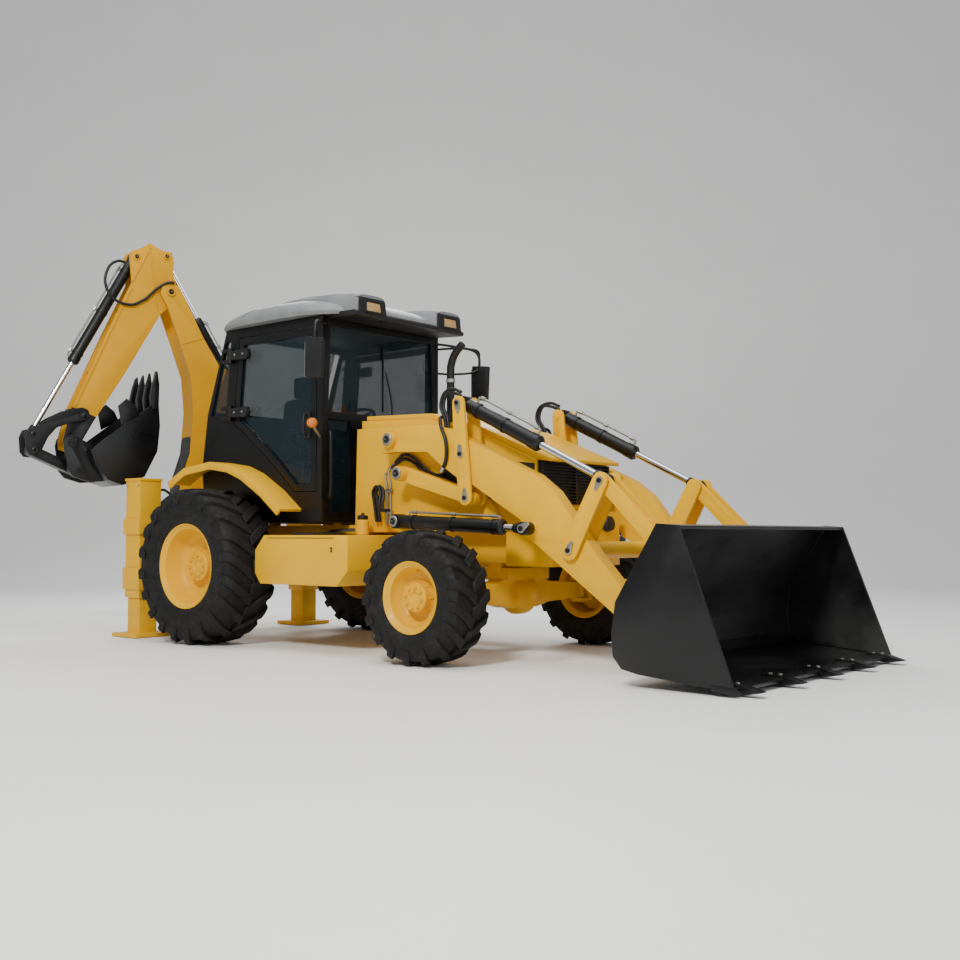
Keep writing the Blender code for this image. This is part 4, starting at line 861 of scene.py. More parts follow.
def keeper(body, centre, y, angle, radius=0.026, reach=0.058, place=MACHINE, side=None):
    """A teardrop keeper plate whose bolt is reach away in direction angle."""
    out = math.copysign(1.0, y if side is None else side)
    tip = (centre[0] + reach * math.cos(angle), centre[1] + reach * math.sin(angle))
    low, high = sorted((y, y + out * 0.006))
    kit.add(body, "zinc steel", plate(capsule(centre, tip, radius, radius * 0.42), low, high, bevel=0.0012),
        place=place)
    kit.add(body, "black enamel", lathe([(0, 0), (radius * 0.6, 0), (radius * 0.6, 0.012),
        (radius * 0.5, 0.015), (0, 0.015)], (centre[0], y, centre[1]), (0, out, 0), 28), place=place)
    kit.add(body, "zinc steel", lathe([(0, 0.004), (0.008, 0.004), (0.008, 0.013), (0, 0.014)],
        (tip[0], y, tip[1]), (0, out, 0), 6), place=place)


ARM_PIVOT, LOWER_PIVOT = (1.722, 1.540), (1.816, 1.293)
LEVER_PIVOT, LEVER_LOW = (2.416, 1.405), (2.453, 1.105)
CRANK_PIVOT, BUCKET_PIVOT, BUCKET_EAR = (3.315, 0.755), (3.810, 0.310), (4.000, 0.750)
for word, side in (("right", -1), ("left", 1)):
    lever, lift = f"lever_{word}", "loader_lift"
    pin_ring("machine", ARM_PIVOT, side * (LINK_Y + 0.092), 0.045)
    pin_ring("machine", LOWER_PIVOT, side * (LINK_Y + 0.092), 0.044)
    pin_ring("machine", LIFT_REAR, side * (LIFT_Y + 0.057), 0.040)
    kit.add("machine", "yellow enamel", lathe([(0.031, 0), (0.056, 0), (0.056, 0.038), (0.031, 0.038)],
        (ARM_PIVOT[0], side * 0.6315, ARM_PIVOT[1]), (0, side, 0), 40))
    kit.add("machine", "yellow enamel", lathe([(0.031, 0), (0.052, 0), (0.052, 0.056), (0.031, 0.056)],
        (LOWER_PIVOT[0], side * 0.6115, LOWER_PIVOT[1]), (0, side, 0), 40))
    keeper(lever, LEVER_TOP, side * (LINK_Y + 0.0915), -1.45)
    keeper(lever, LEVER_PIVOT, side * (LINK_Y + 0.0915), 1.65)
    keeper(lever, LEVER_LOW, side * (LINK_Y + 0.0852), 1.60)
    keeper("bell_crank", CRANK_PIVOT, side * (LINK_Y + 0.0915), 1.10)
    keeper("bell_crank", CRANK_TOP, side * (LINK_Y + 0.0852), -2.05)
    keeper("bucket_tilt", BUCKET_PIVOT, side * (LINK_Y + 0.0915), 0.9)
    keeper(lift, LIFT_FRONT, side * (LIFT_Y + 0.046), 0.5, 0.030, 0.062)
    kit.add(f"tipping_link_{word}", "yellow enamel",
        bar((BUCKET_EAR[0], side * (LINK_Y - 0.062), BUCKET_EAR[1]),
        (BUCKET_EAR[0], side * (LINK_Y + 0.062), BUCKET_EAR[1]), 0.026))
for side in (-1, 1):
    for body, centre, out, radius in (("swing", (0.25, 0.95), 0.169, 0.042),
            ("swing", BOOM_LOW, 0.169, 0.036), ("boom", (0.425, 3.096), 0.131, 0.042),
            ("boom", DIP_LOW, 0.131, 0.034), ("dipper", DIP_TOP, 0.0905, 0.030),
            ("dipper", HOE_TOP, 0.0905, 0.032), ("idler", (1.20, 1.90), 0.1215, 0.040),
            ("idler", (1.62, 1.585), 0.1215, 0.034), ("idler", ROD_EYE, 0.1185, 0.034),
            ("hoe_bucket", (1.30, 1.66), 0.156, 0.040), ("hoe_bucket", (1.229, 1.415), 0.151, 0.034)):
        # Rings on the boom and dipper take the arm's darker yellow, which is painted shade.
        metal = "amber enamel" if body in ("boom", "dipper") else "black enamel"
        pin_ring(body, centre, side * out, radius, ARM, side, "zinc steel" if body == "swing" else metal)

# %% [markdown]
# ## Cab
# Tinted panes sit in the openings of the CAD frame. The roof is one moulded grey shell with a
# black visor and two lamp pods; inside are the seat, the dash and the steering wheel.

# %% Glass
GLASS = 0.006


def pane_of(outline, at, axis, body="machine"):
    kit.add(body, "tinted glass", plate(outline, at - GLASS / 2, at + GLASS / 2, axis=axis, bevel=0.0008))


pane_of([(-0.606, 1.79), (0.606, 1.79), (0.580, 2.470), (-0.580, 2.470)], 0.999, "X")
for side in (-1, 1):
    low, high = sorted((side * 0.605, side * 0.350))
    pane_of([(low, 1.02), (high, 1.02), (high, 1.75), (low, 1.75)], 0.999, "X")
    word = "right" if side < 0 else "left"
    door = [(0.906, 1.236), (0.906, 2.404), (0.080, 2.404), (0.030, 1.785), (0.200, 1.665), (0.360, 1.548),
        (0.520, 1.424), (0.645, 1.316), (0.730, 1.236)]
    pane_of(door, side * 0.640, "Y", f"door_{word}")
    pane_of([(-0.152, 2.448), (-0.073, 2.448), (-0.134, 1.832), (-0.345, 1.832)], side * 0.640, "Y")
kit.add("machine", "tinted glass", layers([
    [(-0.392, -0.600, 1.88), (-0.392, 0.600, 1.88), (-0.386, 0.600, 1.88), (-0.386, -0.600, 1.88)],
    [(-0.150, -0.560, 2.485), (-0.150, 0.560, 2.485), (-0.144, 0.560, 2.485), (-0.144, -0.560, 2.485)]]))

# %% [markdown]
# ## Roof
# The shell is skinned over ten shrinking plans. A box with rounded edges would be simpler, but it
# wouldn't sag towards its rim as the moulding does.

# %% Roof


def rounded_plan(low, high, half, power=4.5, count=72):
    """A roof plan: a soft rectangle from low to high along X."""
    centre, reach = (low + high) / 2, (high - low) / 2
    points = []
    for k in range(count):
        a = 2 * math.pi * k / count
        c, s = math.cos(a), math.sin(a)
        x = math.copysign(abs(c) ** (2 / power), c) * reach + centre
        y = math.copysign(abs(s) ** (2 / power), s) * half
        points.append((x, y * (1.0 - 0.10 * max(0.0, (x - 0.7) / 0.6) ** 2)))
    return points


def sag(x, y):
    """How far the roof falls below its middle."""
    return 0.085 * abs((x - 0.42) / 0.80) ** 2.2 + 0.030 * (y / 0.7) ** 2


shell = []
for inset, level, follow in ((0.050, 2.5365, 0.0), (0.012, 2.552, 0.25), (0.0, 2.585, 0.35),
        (0.008, 2.622, 0.55), (0.030, 2.655, 0.70), (0.075, 2.687, 0.85), (0.15, 2.712, 0.95),
        (0.27, 2.732, 1.0), (0.42, 2.742, 1.0), (0.60, 2.745, 1.0)):
    plan = rounded_plan(-0.335 + inset, 1.335 - inset, 0.735 - inset * 0.9)
    shell.append([(x, y, level - follow * sag(x, y)) for x, y in plan])
shell = layers(shell)
roof_skin = BVHTree.FromBMesh(shell)
kit.add("machine", "roof plastic", shell, node="cab_roof")
for side in (-1, 1):
    rows = []
    for x, wide, low, high in ((0.22, 0.020, 2.66, 2.722), (0.45, 0.100, 2.64, 2.732),
            (0.75, 0.145, 2.60, 2.728), (1.02, 0.160, 2.55, 2.712), (1.22, 0.165, 2.525, 2.692),
            (1.330, 0.160, 2.515, 2.672)):
        rows.append([(x, side * (0.44 + wide * c), low + (high - low) * h) for c,
            h in ((-1.0, 0.0), (-0.92, 0.75), (-0.75, 0.95), (-0.4, 1.0), (0.4, 1.0), (0.75, 0.95),
            (0.92, 0.75), (1.0, 0.0))])
    kit.add("machine", "roof plastic", layers(rows))
    pod = [(1.26, 2.500), (1.340, 2.497), (1.350, 2.525), (1.334, 2.650), (1.26, 2.655)]
    low, high = sorted((side * 0.300, side * 0.582))
    kit.add("machine", "black plastic", plate(pod, low, high, bevel=0.010))
    tilt = Matrix.Translation((1.344, side * 0.44, 2.580)) @ Matrix.Rotation(math.radians(-9), 4, "Y")
    hood = plate([(-0.100, -0.052), (0.100, -0.052), (0.088, 0.052), (-0.088, 0.052)], -0.006, 0.010,
        [[(-0.080, -0.038), (0.080, -0.038), (0.070, 0.038), (-0.070, 0.038)]], axis="X", bevel=0.003)
    glassy = block((-0.004, 0.004), (-0.074, 0.074), (-0.034, 0.034), 0.003)
    hood.transform(tilt)
    glassy.transform(tilt)
    kit.add("machine", "black plastic", hood)
    kit.add("machine", "clear lens", glassy)
visor = [(1.02, 2.515), (1.325, 2.497), (1.345, 2.505), (1.342, 2.530), (1.32, 2.545), (1.02, 2.550)]
kit.add("machine", "black plastic", plate(visor, -0.62, 0.62, bevel=0.008))
for x, swell in ((0.14, 0.09), (-0.13, 0.05)):
    seam = []
    for k in range(41):
        y = -0.715 + 1.43 * k / 40
        edge = x + swell * (1 - (y / 0.7) ** 2)
        met = roof_skin.ray_cast(Vector((edge, y, 3.0)), Vector((0, 0, -1)))[0]
        if met:
            seam.append(met + Vector((0, 0, -0.002)))
    kit.add("machine", "black plastic", tube(seam, 0.006, 8, smooth=False))
kit.add("machine", "black plastic", bar((0.46, 0.0, 2.73), (0.46, 0.0, 2.755), 0.018))

# %% [markdown]
# ## Cab fittings
# Mirrors, grab rails and handles are bent rod, so they are swept along a few points. Hinges and
# lamps are plates and turned pieces.

# %% Mirrors, hinges, wiper and lamps
for side in (-1, 1):
    sweep = [(1.00, side * 0.60, 2.47), (1.08, side * 0.72, 2.46), (1.20, side * 0.88, 2.43),
        (1.24, side * 0.93, 2.38), (1.245, side * 0.94, 2.30)]
    kit.add("machine", "black enamel", tube(sweep, 0.011))
    plan = [(1.175, 2.005), (1.330, 1.990), (1.345, 2.285), (1.165, 2.305)]
    low, high = sorted((side * 0.925, side * 0.965))
    kit.add("machine", "black plastic", plate(plan, low, high, bevel=0.014))
    kit.add("machine", "mirror glass", layers([[(1.158, side * y, z) for y,
        z in ((0.93, 2.02), (0.96, 2.02), (0.96, 2.27), (0.93, 2.27))],
        [(1.163, side * y, z) for y, z in ((0.93, 2.02), (0.96, 2.02), (0.96, 2.27), (0.93, 2.27))]]))
loop = [(1.00, 0.62, 2.42), (1.10, 0.78, 2.44), (1.22, 0.92, 2.43), (1.24, 0.94, 2.36), (1.22, 0.92, 2.25),
    (1.10, 0.78, 2.22), (1.00, 0.62, 2.22)]
kit.add("machine", "black enamel", tube(loop, 0.010))
for word, side in (("right", -1), ("left", 1)):
    for level in (1.845, 2.315):
        low, high = sorted((side * 0.664, side * 0.712))
        kit.add(f"door_{word}", "black plastic",
            plate([(-0.035, level - 0.036), (0.17, level - 0.045), (0.19, level), (0.17, level + 0.045),
            (-0.035, level + 0.036)], low, high, bevel=0.010))
        kit.add(f"door_{word}", "black enamel",
            bar((-0.06, side * 0.687, level - 0.060), (-0.06, side * 0.687, level + 0.060), 0.024))
        for bolt in (0.03, 0.13):
            kit.add(f"door_{word}", "zinc steel",
                bar((bolt, side * 0.711, level), (bolt, side * 0.718, level), 0.010, 6))
    handle = [(0.86, side * 0.665, 1.62), (0.86, side * 0.70, 1.64), (0.86, side * 0.70, 1.76),
        (0.86, side * 0.665, 1.78)]
    kit.add(f"door_{word}", "black plastic", tube(handle, 0.010))
    kit.add(f"door_{word}", "black plastic",
        block((0.83, 0.90), sorted((side * 0.655, side * 0.675)), (1.60, 1.80)))
    grab = [(1.035, side * 0.60, 1.15), (1.075, side * 0.62, 1.18), (1.075, side * 0.62, 1.60),
        (1.035, side * 0.60, 1.63)]
    kit.add("machine", "black enamel", tube(grab, 0.012))
    stalk = [(1.00, side * 0.66, 1.60), (1.02, side * 0.72, 1.64), (1.03, side * 0.76, 1.68)]
    kit.add("machine", "zinc steel", tube(stalk, 0.010))
    kit.add("machine", "amber lens", lathe([(0, -0.03), (0.034, -0.03), (0.040, -0.01), (0.036, 0.015),
        (0.02, 0.03), (0, 0.032)], (1.04, side * 0.775, 1.695), (1, side * 0.3, 0), 32))
    kit.add("machine", "black plastic", lathe([(0, -0.045), (0.038, -0.045), (0.041, -0.03), (0, -0.03)],
        (1.04, side * 0.775, 1.695), (1, side * 0.3, 0), 32))
arm = [(1.024, 0.10, 1.80), (1.030, 0.08, 1.95), (1.026, 0.02, 2.16)]
kit.add("machine", "black enamel", tube(arm, 0.007))
kit.add("machine", "hose rubber", block((1.006, 1.020), (-0.005, 0.007), (1.84, 2.36), 0.002))
kit.add("machine", "black plastic", block((1.020, 1.045), (0.05, 0.15), (1.765, 1.815)))

# %% [markdown]
# ## Inside the cab
# The seat is three cushions. Cloth simulation could puff them up; here each is a block pulled in at
# its edges and smoothed by subdivision, which is quick and always comes out the same.

# %% Inside the cab
kit.add("machine", "black plastic", block((0.25, 0.58), (-0.15, 0.15), (1.003, 1.34), 0.02))
for name, x, y, z in (("seat_cushion", (0.14, 0.66), (-0.25, 0.25), (1.34, 1.475)),
        ("seat_backrest", (0.055, 0.185), (-0.24, 0.24), (1.45, 2.00)),
        ("head_rest", (0.07, 0.17), (-0.13, 0.13), (2.00, 2.19))):
    shape = block(x, y, z, 0.0)
    bmesh.ops.subdivide_edges(shape, edges=shape.edges, cuts=5, use_grid_fill=True)
    centre = Vector(((x[0] + x[1]) / 2, (y[0] + y[1]) / 2, (z[0] + z[1]) / 2))
    half = Vector(((x[1] - x[0]) / 2, (y[1] - y[0]) / 2, (z[1] - z[0]) / 2))
    thin = min(range(3), key=lambda k: half[k])
    for vert in shape.verts:
        offset = vert.co - centre
        share = [min(1.0, abs(offset[k]) / half[k]) for k in range(3)]
        for k in range(3):
            others = [share[j] for j in range(3) if j != k]
            pull = 0.10 * max(others) ** 6 + (0.05 * math.cos(offset[1] * 30) * (1 - max(others))
                if k == thin else 0.0)
            vert.co[k] = centre[k] + offset[k] * (1 - pull)
    shape.transform(MACHINE)
    piece = shown(name, shape, "machine", "woven fabric", 80)
    smooth = piece.modifiers.new("soft", "SUBSURF")
    smooth.levels = smooth.render_levels = 2
    baked = bpy.data.meshes.new_from_object(piece.evaluated_get(bpy.context.evaluated_depsgraph_get()))
    piece.modifiers.clear()
    piece.data = baked
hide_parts("operator_seat")
dash = [(0.80, 1.003), (0.972, 1.003), (0.972, 1.72), (0.93, 1.765), (0.84, 1.74), (0.79, 1.60), (0.80, 1.30)]
kit.add("machine", "black plastic", plate(dash, -0.22, 0.22, bevel=0.015), node="steering_console")
kit.add("machine", "black plastic", plate([(0.90, 1.60), (0.975, 1.60), (0.975, 1.775), (0.92, 1.785),
    (0.89, 1.75)], -0.60, 0.60, bevel=0.012))
kit.add("machine", "grey plastic", block((0.30, 0.72), (-0.58, -0.36), (1.003, 1.42), 0.03))
lean = math.radians(22)
wheel_axis = Vector((-math.sin(lean), 0, math.cos(lean)))
hub = Vector((0.66, 0.0, 1.80))
kit.add("machine", "black plastic",
    lathe([(0.19 + 0.013 * math.cos(a),
    0.013 * math.sin(a)) for a in (2 * math.pi * k / 12 for k in range(12))], hub, wheel_axis, 64))
kit.add("machine", "black plastic", lathe([(0, -0.02), (0.05, -0.02), (0.045, 0.02), (0.02, 0.03),
    (0, 0.03)], hub, wheel_axis, 32))
kit.add("machine", "black plastic", bar(hub - wheel_axis * 0.42, hub, 0.022))
for k in range(3):
    spoke = Vector((0, 0, 1)).cross(wheel_axis).normalized()
    direction = (Matrix.Rotation(2 * math.pi * k / 3, 3, wheel_axis) @ spoke).normalized()
    kit.add("machine", "grey plastic", bar(hub, hub + direction * 0.185, 0.008, 12))
for x, y in ((0.55, -0.44), (0.55, -0.52), (0.30, 0.42)):
    kit.add("machine", "black plastic", bar((x, y, 1.40), (x + 0.03, y, 1.62), 0.008), lathe(
        [(0, -0.02), (0.018, -0.015), (0.022, 0.0), (0.018, 0.018), (0, 0.024)], (x + 0.032, y, 1.64), (0,
            0, 1), 20))

# %% [markdown]
# ## Bonnet, grille and exhaust
# The grille's slats are one bar repeated by the row group. The exhaust is one swept pipe.

# %% Front end
slat = block((-0.006, 0.012), (-0.395, 0.395), (-0.004, 0.004), 0.002)
slats = repeated(ROW, slat, "black plastic", Count=13, Start=(2.895, 0.0, 1.085), Step=(0.0011, 0.0, 0.0215))
kit.add("machine", "black plastic", slats, block((2.80, 2.888), (-0.404, 0.404), (1.066, 1.350), 0.004),
    block((2.882, 2.915), (-0.404, -0.385), (1.068, 1.350)),
    block((2.882, 2.915), (0.385, 0.404), (1.068, 1.350)),
    block((2.882, 2.912), (-0.01, 0.01), (1.068, 1.345)), node="radiator_grille")
kit.add("machine", "black plastic", plate([(2.35, 1.10), (2.87, 1.10), (2.87, 1.335), (2.35, 1.40)],
    -0.4345, -0.4295, bevel=0.001))
bend = [(2.140, -0.455, 1.6553), (2.140, -0.455, 2.02), (2.144, -0.455, 2.06), (2.162, -0.455, 2.11),
    (2.195, -0.455, 2.155), (2.250, -0.455, 2.203)]
kit.add("machine", "black enamel", tube(bend, 0.028, 32), node="exhaust_stack")
kit.add("machine", "black enamel", bar((2.14, -0.455, 1.656), (2.14, -0.455, 1.71), 0.040, 32))
kit.add("machine", "zinc steel", lathe([(0.0285, -0.012), (0.033, -0.012), (0.033, 0.012), (0.0285, 0.012)],
    (2.14, -0.455, 1.95), (0, 0, 1), 32))
kit.add("machine", "black plastic", lathe([(0, 0), (0.050, 0), (0.058, 0.02), (0.050, 0.05), (0, 0.06)],
    (3.0, 0.22, 0.93), (1, 0, 0.1), 32))

# %% [markdown]
# ## Hydraulic pipes and hoses
# Two steel lines climb the tower, hoses bridge each pivot with a loop of slack, and a long pipe
# runs above each lift cylinder.

# %% Hoses on the loader
lever_hoses = []
for word, side in (("right", -1), ("left", 1)):
    def at(x, y, z):
        return (x, side * y, z)

    loops = joined(*[
        tube([at(2.205 + shift, 0.580, 1.54), at(2.186 + shift, 0.568, 1.66), at(2.139 + shift, 0.560, 1.758),
              at(2.172 + shift, 0.562, 1.846), at(2.262, 0.572, 1.872 - shift), at(2.345, 0.580,
                  1.842 - shift)], 0.012)
        for shift in (0.0, 0.026)])
    loops.transform(MACHINE)
    lever_hoses.append((f"lever_hoses_{word}", loops, word, MACHINE @ Vector(at(2.200, 0.58, 1.64)),
        MACHINE @ Vector(at(2.34, 0.58, 1.84))))
    kit.add(f"lever_{word}", "hose rubber",
        tube([at(2.190, 0.600, 1.678), at(2.202, 0.636, 1.662), at(2.222, 0.648, 1.60),
        at(2.262, 0.652, 1.52), at(2.275, 0.652, 1.44), at(2.265, 0.648, 1.37), at(2.235, 0.640, 1.32)],
        0.013))
    kit.add(f"lever_{word}", "zinc steel", bar(at(2.235, 0.640, 1.32), at(2.214, 0.638, 1.290), 0.015, 6))
    for shift in (0.0, 0.034):
        kit.add("machine", "zinc steel", tube([at(1.545 + shift, 0.487, 0.93),
            at(1.545 + shift, 0.487, 1.20 + shift), at(1.520 + shift, 0.487, 1.30 + shift),
            at(1.580 + shift, 0.487, 1.345 + shift)], 0.0075, smooth=False))
        kit.add("machine", "hose rubber", tube([at(1.600 + shift, 0.492, 1.352 + shift),
            at(1.725, 0.500, 1.405 + shift), at(1.830, 0.500, 1.375 + shift),
            at(1.930, 0.500, 1.300 + shift), at(2.030, 0.500, 1.250 + shift),
            at(2.10, 0.497, 1.245 + shift)], 0.012))
        kit.add("machine", "hose rubber", tube([at(1.450 + shift, 0.500, 0.950),
            at(1.435 + shift, 0.510, 1.090), at(1.430 + shift, 0.520, 1.170),
            at(1.485 + shift, 0.540, 1.212), at(1.545 + shift, 0.560, 1.170),
            at(1.575 + shift, 0.600, 1.080), at(1.640 + shift, 0.660, 1.035),
            at(1.730 + shift, 0.690, 1.028)], 0.012))
    for centre in ((1.545, 1.02), (1.545, 1.18)):
        kit.add("machine", "zinc steel", block((centre[0] - 0.014, centre[0] + 0.050),
            sorted((side * 0.470, side * 0.500)), (centre[1] - 0.012, centre[1] + 0.012)))
    # A thin black plate on the tower just under the arm: painted shadow that the arm casts on the recessed panel.
    arm_shadow_plate = [(2.070, 1.405), (2.200, 1.335), (2.330, 1.262), (2.335, 1.175), (2.085, 1.262)]
    low, high = sorted((side * 0.4705, side * 0.480))
    kit.add("machine", "black enamel", plate(arm_shadow_plate, low, high, bevel=0.002))
    post = [(0.0, 0.0), (0.044, 0.0), (0.046, 0.006), (0.046, 0.105), (0.040, 0.112), (0.0, 0.112)]
    kit.add("machine", "yellow enamel", lathe(post, at(1.404, 0.60, 0.853), (0, 0, 1), 40))
    kit.add("machine", "black plastic", lathe([(0, 0), (0.036, 0), (0.040, 0.01), (0.038, 0.030),
        (0.012, 0.036), (0.012, 0.050), (0, 0.050)], at(1.404, 0.60, 0.966), (0, 0, 1), 24))
    for level, dy in ((0.885, 0.0), (0.872, 0.03)):
        kit.add("machine", "zinc steel",
            tube([at(0.80, 0.36 + dy, level), at(1.10, 0.40 + dy, level + 0.012),
            at(1.35, 0.42 + dy, level + 0.015)], 0.009))
    kit.add("machine", "black plastic", block((1.04, 1.30), sorted((side * 0.72, side * 0.98)),
        (0.853, 0.872), 0.004))
    kit.add("machine", "black enamel", block((0.803, 1.52), sorted((side * 1.0005, side * 1.004)),
        (0.830, 0.834), 0.0008))
    for level in (0.76, 0.74):
        kit.add("machine", "black enamel", bar(at(1.50, 1.0005, level), at(1.50, 1.010, level), 0.008, 6))
print(len(kit.groups), "groups after the loader's hoses")

# %% [markdown]
# ## Hoses and trim on the digging arm
# Each hose is swept through its points and rides on one body, so it stops at the joint it reaches.
# Covers and welded ridges are thin plates on the arm's sides.

# %% Hoses on the digging arm
kit.add("dipper", "hose rubber", tube([(0.840, 0.060, 3.330), (0.905, 0.075, 3.330), (0.985, 0.100, 3.271),
    (1.030, 0.115, 3.144), (1.000, 0.120, 3.027), (0.913, 0.110, 2.955), (0.776, 0.108, 2.941),
    (0.654, 0.108, 3.008)], 0.013), place=ARM)
kit.add("dipper", "hose rubber", tube([(0.654, 0.108, 3.008), (0.560, 0.112, 3.105), (0.480, 0.125, 3.165),
    (0.430, 0.138, 3.182), (0.400, 0.142, 3.180)], 0.013), place=ARM)
for n in (-0.05, 0.05):
    kit.add("boom", "hose rubber", tube([(0.020, n * 1.5, 2.600), (-0.10, n * 1.4, 2.42),
        (-0.20, n * 1.4, 2.15), (-0.19, n, 1.90), (-0.17, n, 1.60), (-0.12, n, 1.40)], 0.013), place=ARM)
    kit.add("swing", "hose rubber", tube([(0.00, n, 1.300), (-0.10, n * 1.3, 1.36), (-0.20, n * 1.5, 1.30),
        (-0.22, n * 1.6, 1.18), (-0.13, n * 1.6, 1.10)], 0.013), place=ARM)
for side in (-1, 1):
    edge = [(0.800, 3.10), (0.985, 2.690), (1.290, 1.985), (1.262, 1.975), (0.957, 2.680), (0.772, 3.10)]
    low, high = sorted((side * 0.0885, side * 0.097))
    kit.add("dipper", "amber enamel", plate(edge, low, high, bevel=0.002), place=ARM)
    ridge = [(0.626, 3.510), (0.545, 2.915), (0.532, 2.920), (0.612, 3.505)]
    kit.add("dipper", "amber enamel", plate(ridge, low, high, bevel=0.002), place=ARM)
    ridge = [(0.612, 3.500), (0.785, 3.150), (0.772, 3.146), (0.602, 3.490)]
    kit.add("dipper", "amber enamel", plate(ridge, low, high, bevel=0.002), place=ARM)
    low, high = sorted((side * 0.0902, side * 0.094))
    cover = [(1.298, 1.978), (1.085, 1.900), (1.236, 1.622), (1.300, 1.588), (1.362, 1.608), (1.368, 1.690)]
    kit.add("dipper", "black enamel", plate(cover, low, high,
        [circle((1.30, 1.66), 0.040), circle((1.20, 1.90), 0.040)], bevel=0.001), place=ARM)
    low, high = sorted((side * 0.1245, side * 0.130))
    seam = [(0.330, 2.612), (0.315, 2.628), (0.118, 2.706), (0.112, 2.690)]
    kit.add("boom", "amber enamel", plate(seam, low, high, bevel=0.002), place=ARM)
# A thin black strip across the boom's front edge, up to 1.86 m: painted shade where that edge turns away from the
# light.
kit.add("boom", "black enamel", plate([(0.348, 1.02), (0.314, 1.352), (0.231, 1.612), (0.2015, 1.86),
    (0.1985, 1.86), (0.228, 1.608), (0.311, 1.350), (0.345, 1.02)], -0.118, 0.118), place=ARM)
kit.add("dipper", "amber enamel", plate([(1.075, 2.36), (1.150, 2.345), (1.155, 2.305), (1.105, 2.300)],
    -0.02, 0.02, bevel=0.003), place=ARM)
for n in (-0.28, -0.094, 0.094, 0.28):
    shank = [(0.592, 1.98), (0.650, 1.98), (0.662, 2.10), (0.640, 2.22), (0.606, 2.325), (0.588, 2.20)]
    kit.add("hoe_bucket", "bucket steel", plate(shank, n - 0.032, n + 0.032, bevel=0.006), place=ARM)
for side in (-1, 1):
    low, high = sorted((side * 0.285, side * 0.303))
    kit.add("hoe_bucket", "bucket steel", plate([(0.76, 1.92), (0.92, 1.82), (0.955, 1.99), (0.88, 2.06),
        (0.80, 2.00)], low, high, bevel=0.003), place=ARM)

# %% [markdown]
# ## Stabilisers, bucket details and tail
# Small things that give scale: bolt heads, weld beads inside the bucket, tail lamps and hoses.

# %% Stabilisers, bucket details and tail
for side in (-1, 1):
    for x in (-1.015, -0.845):
        kit.add("machine", "zinc steel", bar((x, side * 1.001, 1.27), (x, side * 1.010, 1.27), 0.009, 6))
    kit.add("machine", "hose rubber", tube([(-0.93, side * 0.80, 1.20), (-0.90, side * 0.72, 1.24),
        (-0.86, side * 0.62, 1.15), (-0.90, side * 0.50, 1.06), (-0.96, side * 0.42, 1.04)], 0.012))
    kit.add("machine", "amber lens", block((-0.475, -0.452), sorted((side * 0.50, side * 0.60)),
        (1.50, 1.62), 0.006))
    kit.add("bucket_tilt", "bucket steel",
        plate([(4.56, 0.026), (4.700, 0.012), (4.74, 0.028), (4.70, 0.050), (4.56, 0.060)],
        side * 1.118 - 0.004, side * 1.118 + 0.004, bevel=0.001))
for k in range(5):
    y = -1.018 + 2.036 * k / 4
    for x in (4.60, 4.66):
        kit.add("bucket_tilt", "zinc steel", bar((x, y, 0.064), (x, y, 0.074), 0.012, 6))
for side in (-1, 1):
    y = side * 1.0995
    kit.add("bucket_tilt", "bucket steel", tube([(4.10, y, 0.105), (4.40, y, 0.079), (4.62, y, 0.060)],
        0.005, 8, smooth=False), tube([(4.235, y, 0.895), (3.975, y, 0.480), (3.950, y, 0.300),
        (3.960, y, 0.180), (4.010, y, 0.125), (4.10, y, 0.105)], 0.005, 8, smooth=False))
kit.build()
for name, shape, word, start, end in lever_hoses:
    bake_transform(painted(name, shape, "hose rubber"))

# %% [markdown]
# ## Studio
# A pale floor that curves up behind the machine, broad soft light from the camera's left, and a
# camera a little below the height of the wheels' tops, looking slightly up.

# %% Floor, light and camera


def studio_floor(tree):
    """Pale, barely mottled sweep of painted board; it gives the eye only a ground and a soft shadow."""
    cloud = node(tree, RANGE, {"Value": pattern(tree, 1.2), "From Min": 0.3, "From Max": 0.7})
    base = node(tree, MIX, {0: cloud.outputs[0], 6: colour("f1f1f0"), 7: colour("f4f4f3")}, data_type="RGBA")
    return base.outputs[2], 0.55, pattern(tree, 60.0, 3.0), 0.04, 0.001


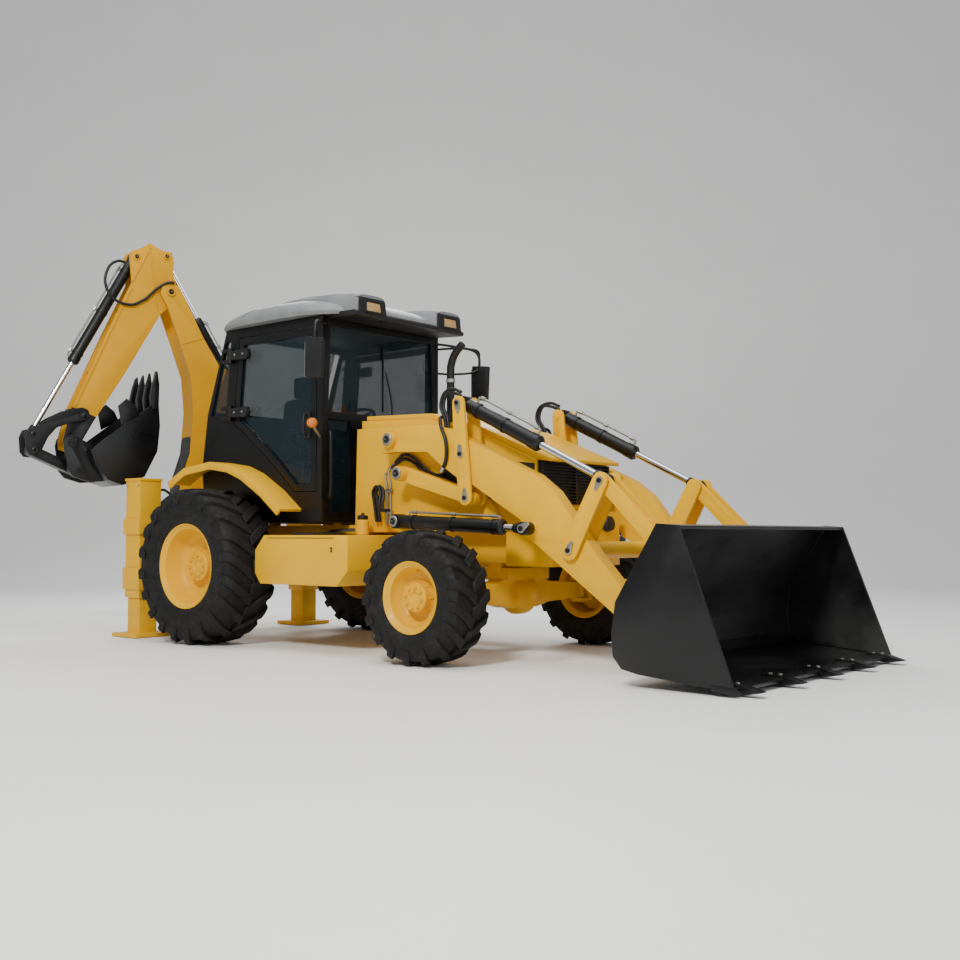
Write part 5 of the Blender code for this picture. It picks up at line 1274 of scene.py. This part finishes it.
MATERIALS["studio floor"] = surface("studio floor", studio_floor)
sweep = [(-30.0, 0.0), (9.0, 0.0)]
sweep += [(9.0 + 5.0 * math.sin(a),
    5.0 - 5.0 * math.cos(a)) for a in (math.pi / 2 * k / 16 for k in range(1, 17))] + [(14.0, 26.0)]
shape = bmesh.new()
rows = [[shape.verts.new((x, d, z)) for d, z in sweep] for x in (-40.0, 40.0)]
for k in range(len(sweep) - 1):
    shape.faces.new([rows[0][k], rows[1][k], rows[1][k + 1], rows[0][k + 1]])
shape.transform(Matrix.Rotation(math.radians(39.8), 4, "Z"))
floor = painted("studio floor", shape, "studio floor")
floor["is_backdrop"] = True

camera = in_scene("camera", bpy.data.cameras.new("camera"))
bpy.context.scene.camera = camera
azimuth, pitch = math.radians(39.818), math.radians(2.696)
ahead = Vector((-math.sin(azimuth) * math.cos(pitch), math.cos(azimuth) * math.cos(pitch), math.sin(pitch)))
camera.location = MACHINE @ Vector((7.6055, -6.6846, 0.8529))
camera.rotation_euler = ahead.to_track_quat("-Z", "Y").to_euler()
camera.data.sensor_width = 36.0
camera.data.lens = 43.83
camera.data.clip_end = 200.0


def softbox(name, at, size, power, aim=(0.0, 0.0, 1.0), tone=(1.0, 1.0, 1.0)):
    light = in_scene(name, bpy.data.lights.new(name, "AREA"))
    light.data.shape = "RECTANGLE"
    light.data.size, light.data.size_y = size
    light.data.energy = power
    light.data.color = tone
    light.location = at
    light.rotation_euler = (Vector(aim) - Vector(at)).to_track_quat("-Z", "Y").to_euler()
    light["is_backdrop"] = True


softbox("key light", (4.5, -9.5, 8.5), (2.2, 1.6), 1350, tone=(1.0, 0.97, 0.92))
softbox("front fill", (10.0, -3.0, 3.5), (5.0, 4.0), 170, tone=(0.95, 0.98, 1.0))
softbox("back light", (-6.0, 6.0, 7.0), (5.0, 3.0), 500)
softbox("overhead", (0.0, -1.0, 9.0), (9.0, 6.0), 520)
world = bpy.data.worlds.new("studio")
bpy.context.scene.world = world
world.use_nodes = True
world.node_tree.nodes["Background"].inputs["Color"].default_value = colour("eef1f4")
world.node_tree.nodes["Background"].inputs["Strength"].default_value = 0.46

# %% [markdown]
# ## Sizes
# The box of what is shown is found.

# %% Sizes
low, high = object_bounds()
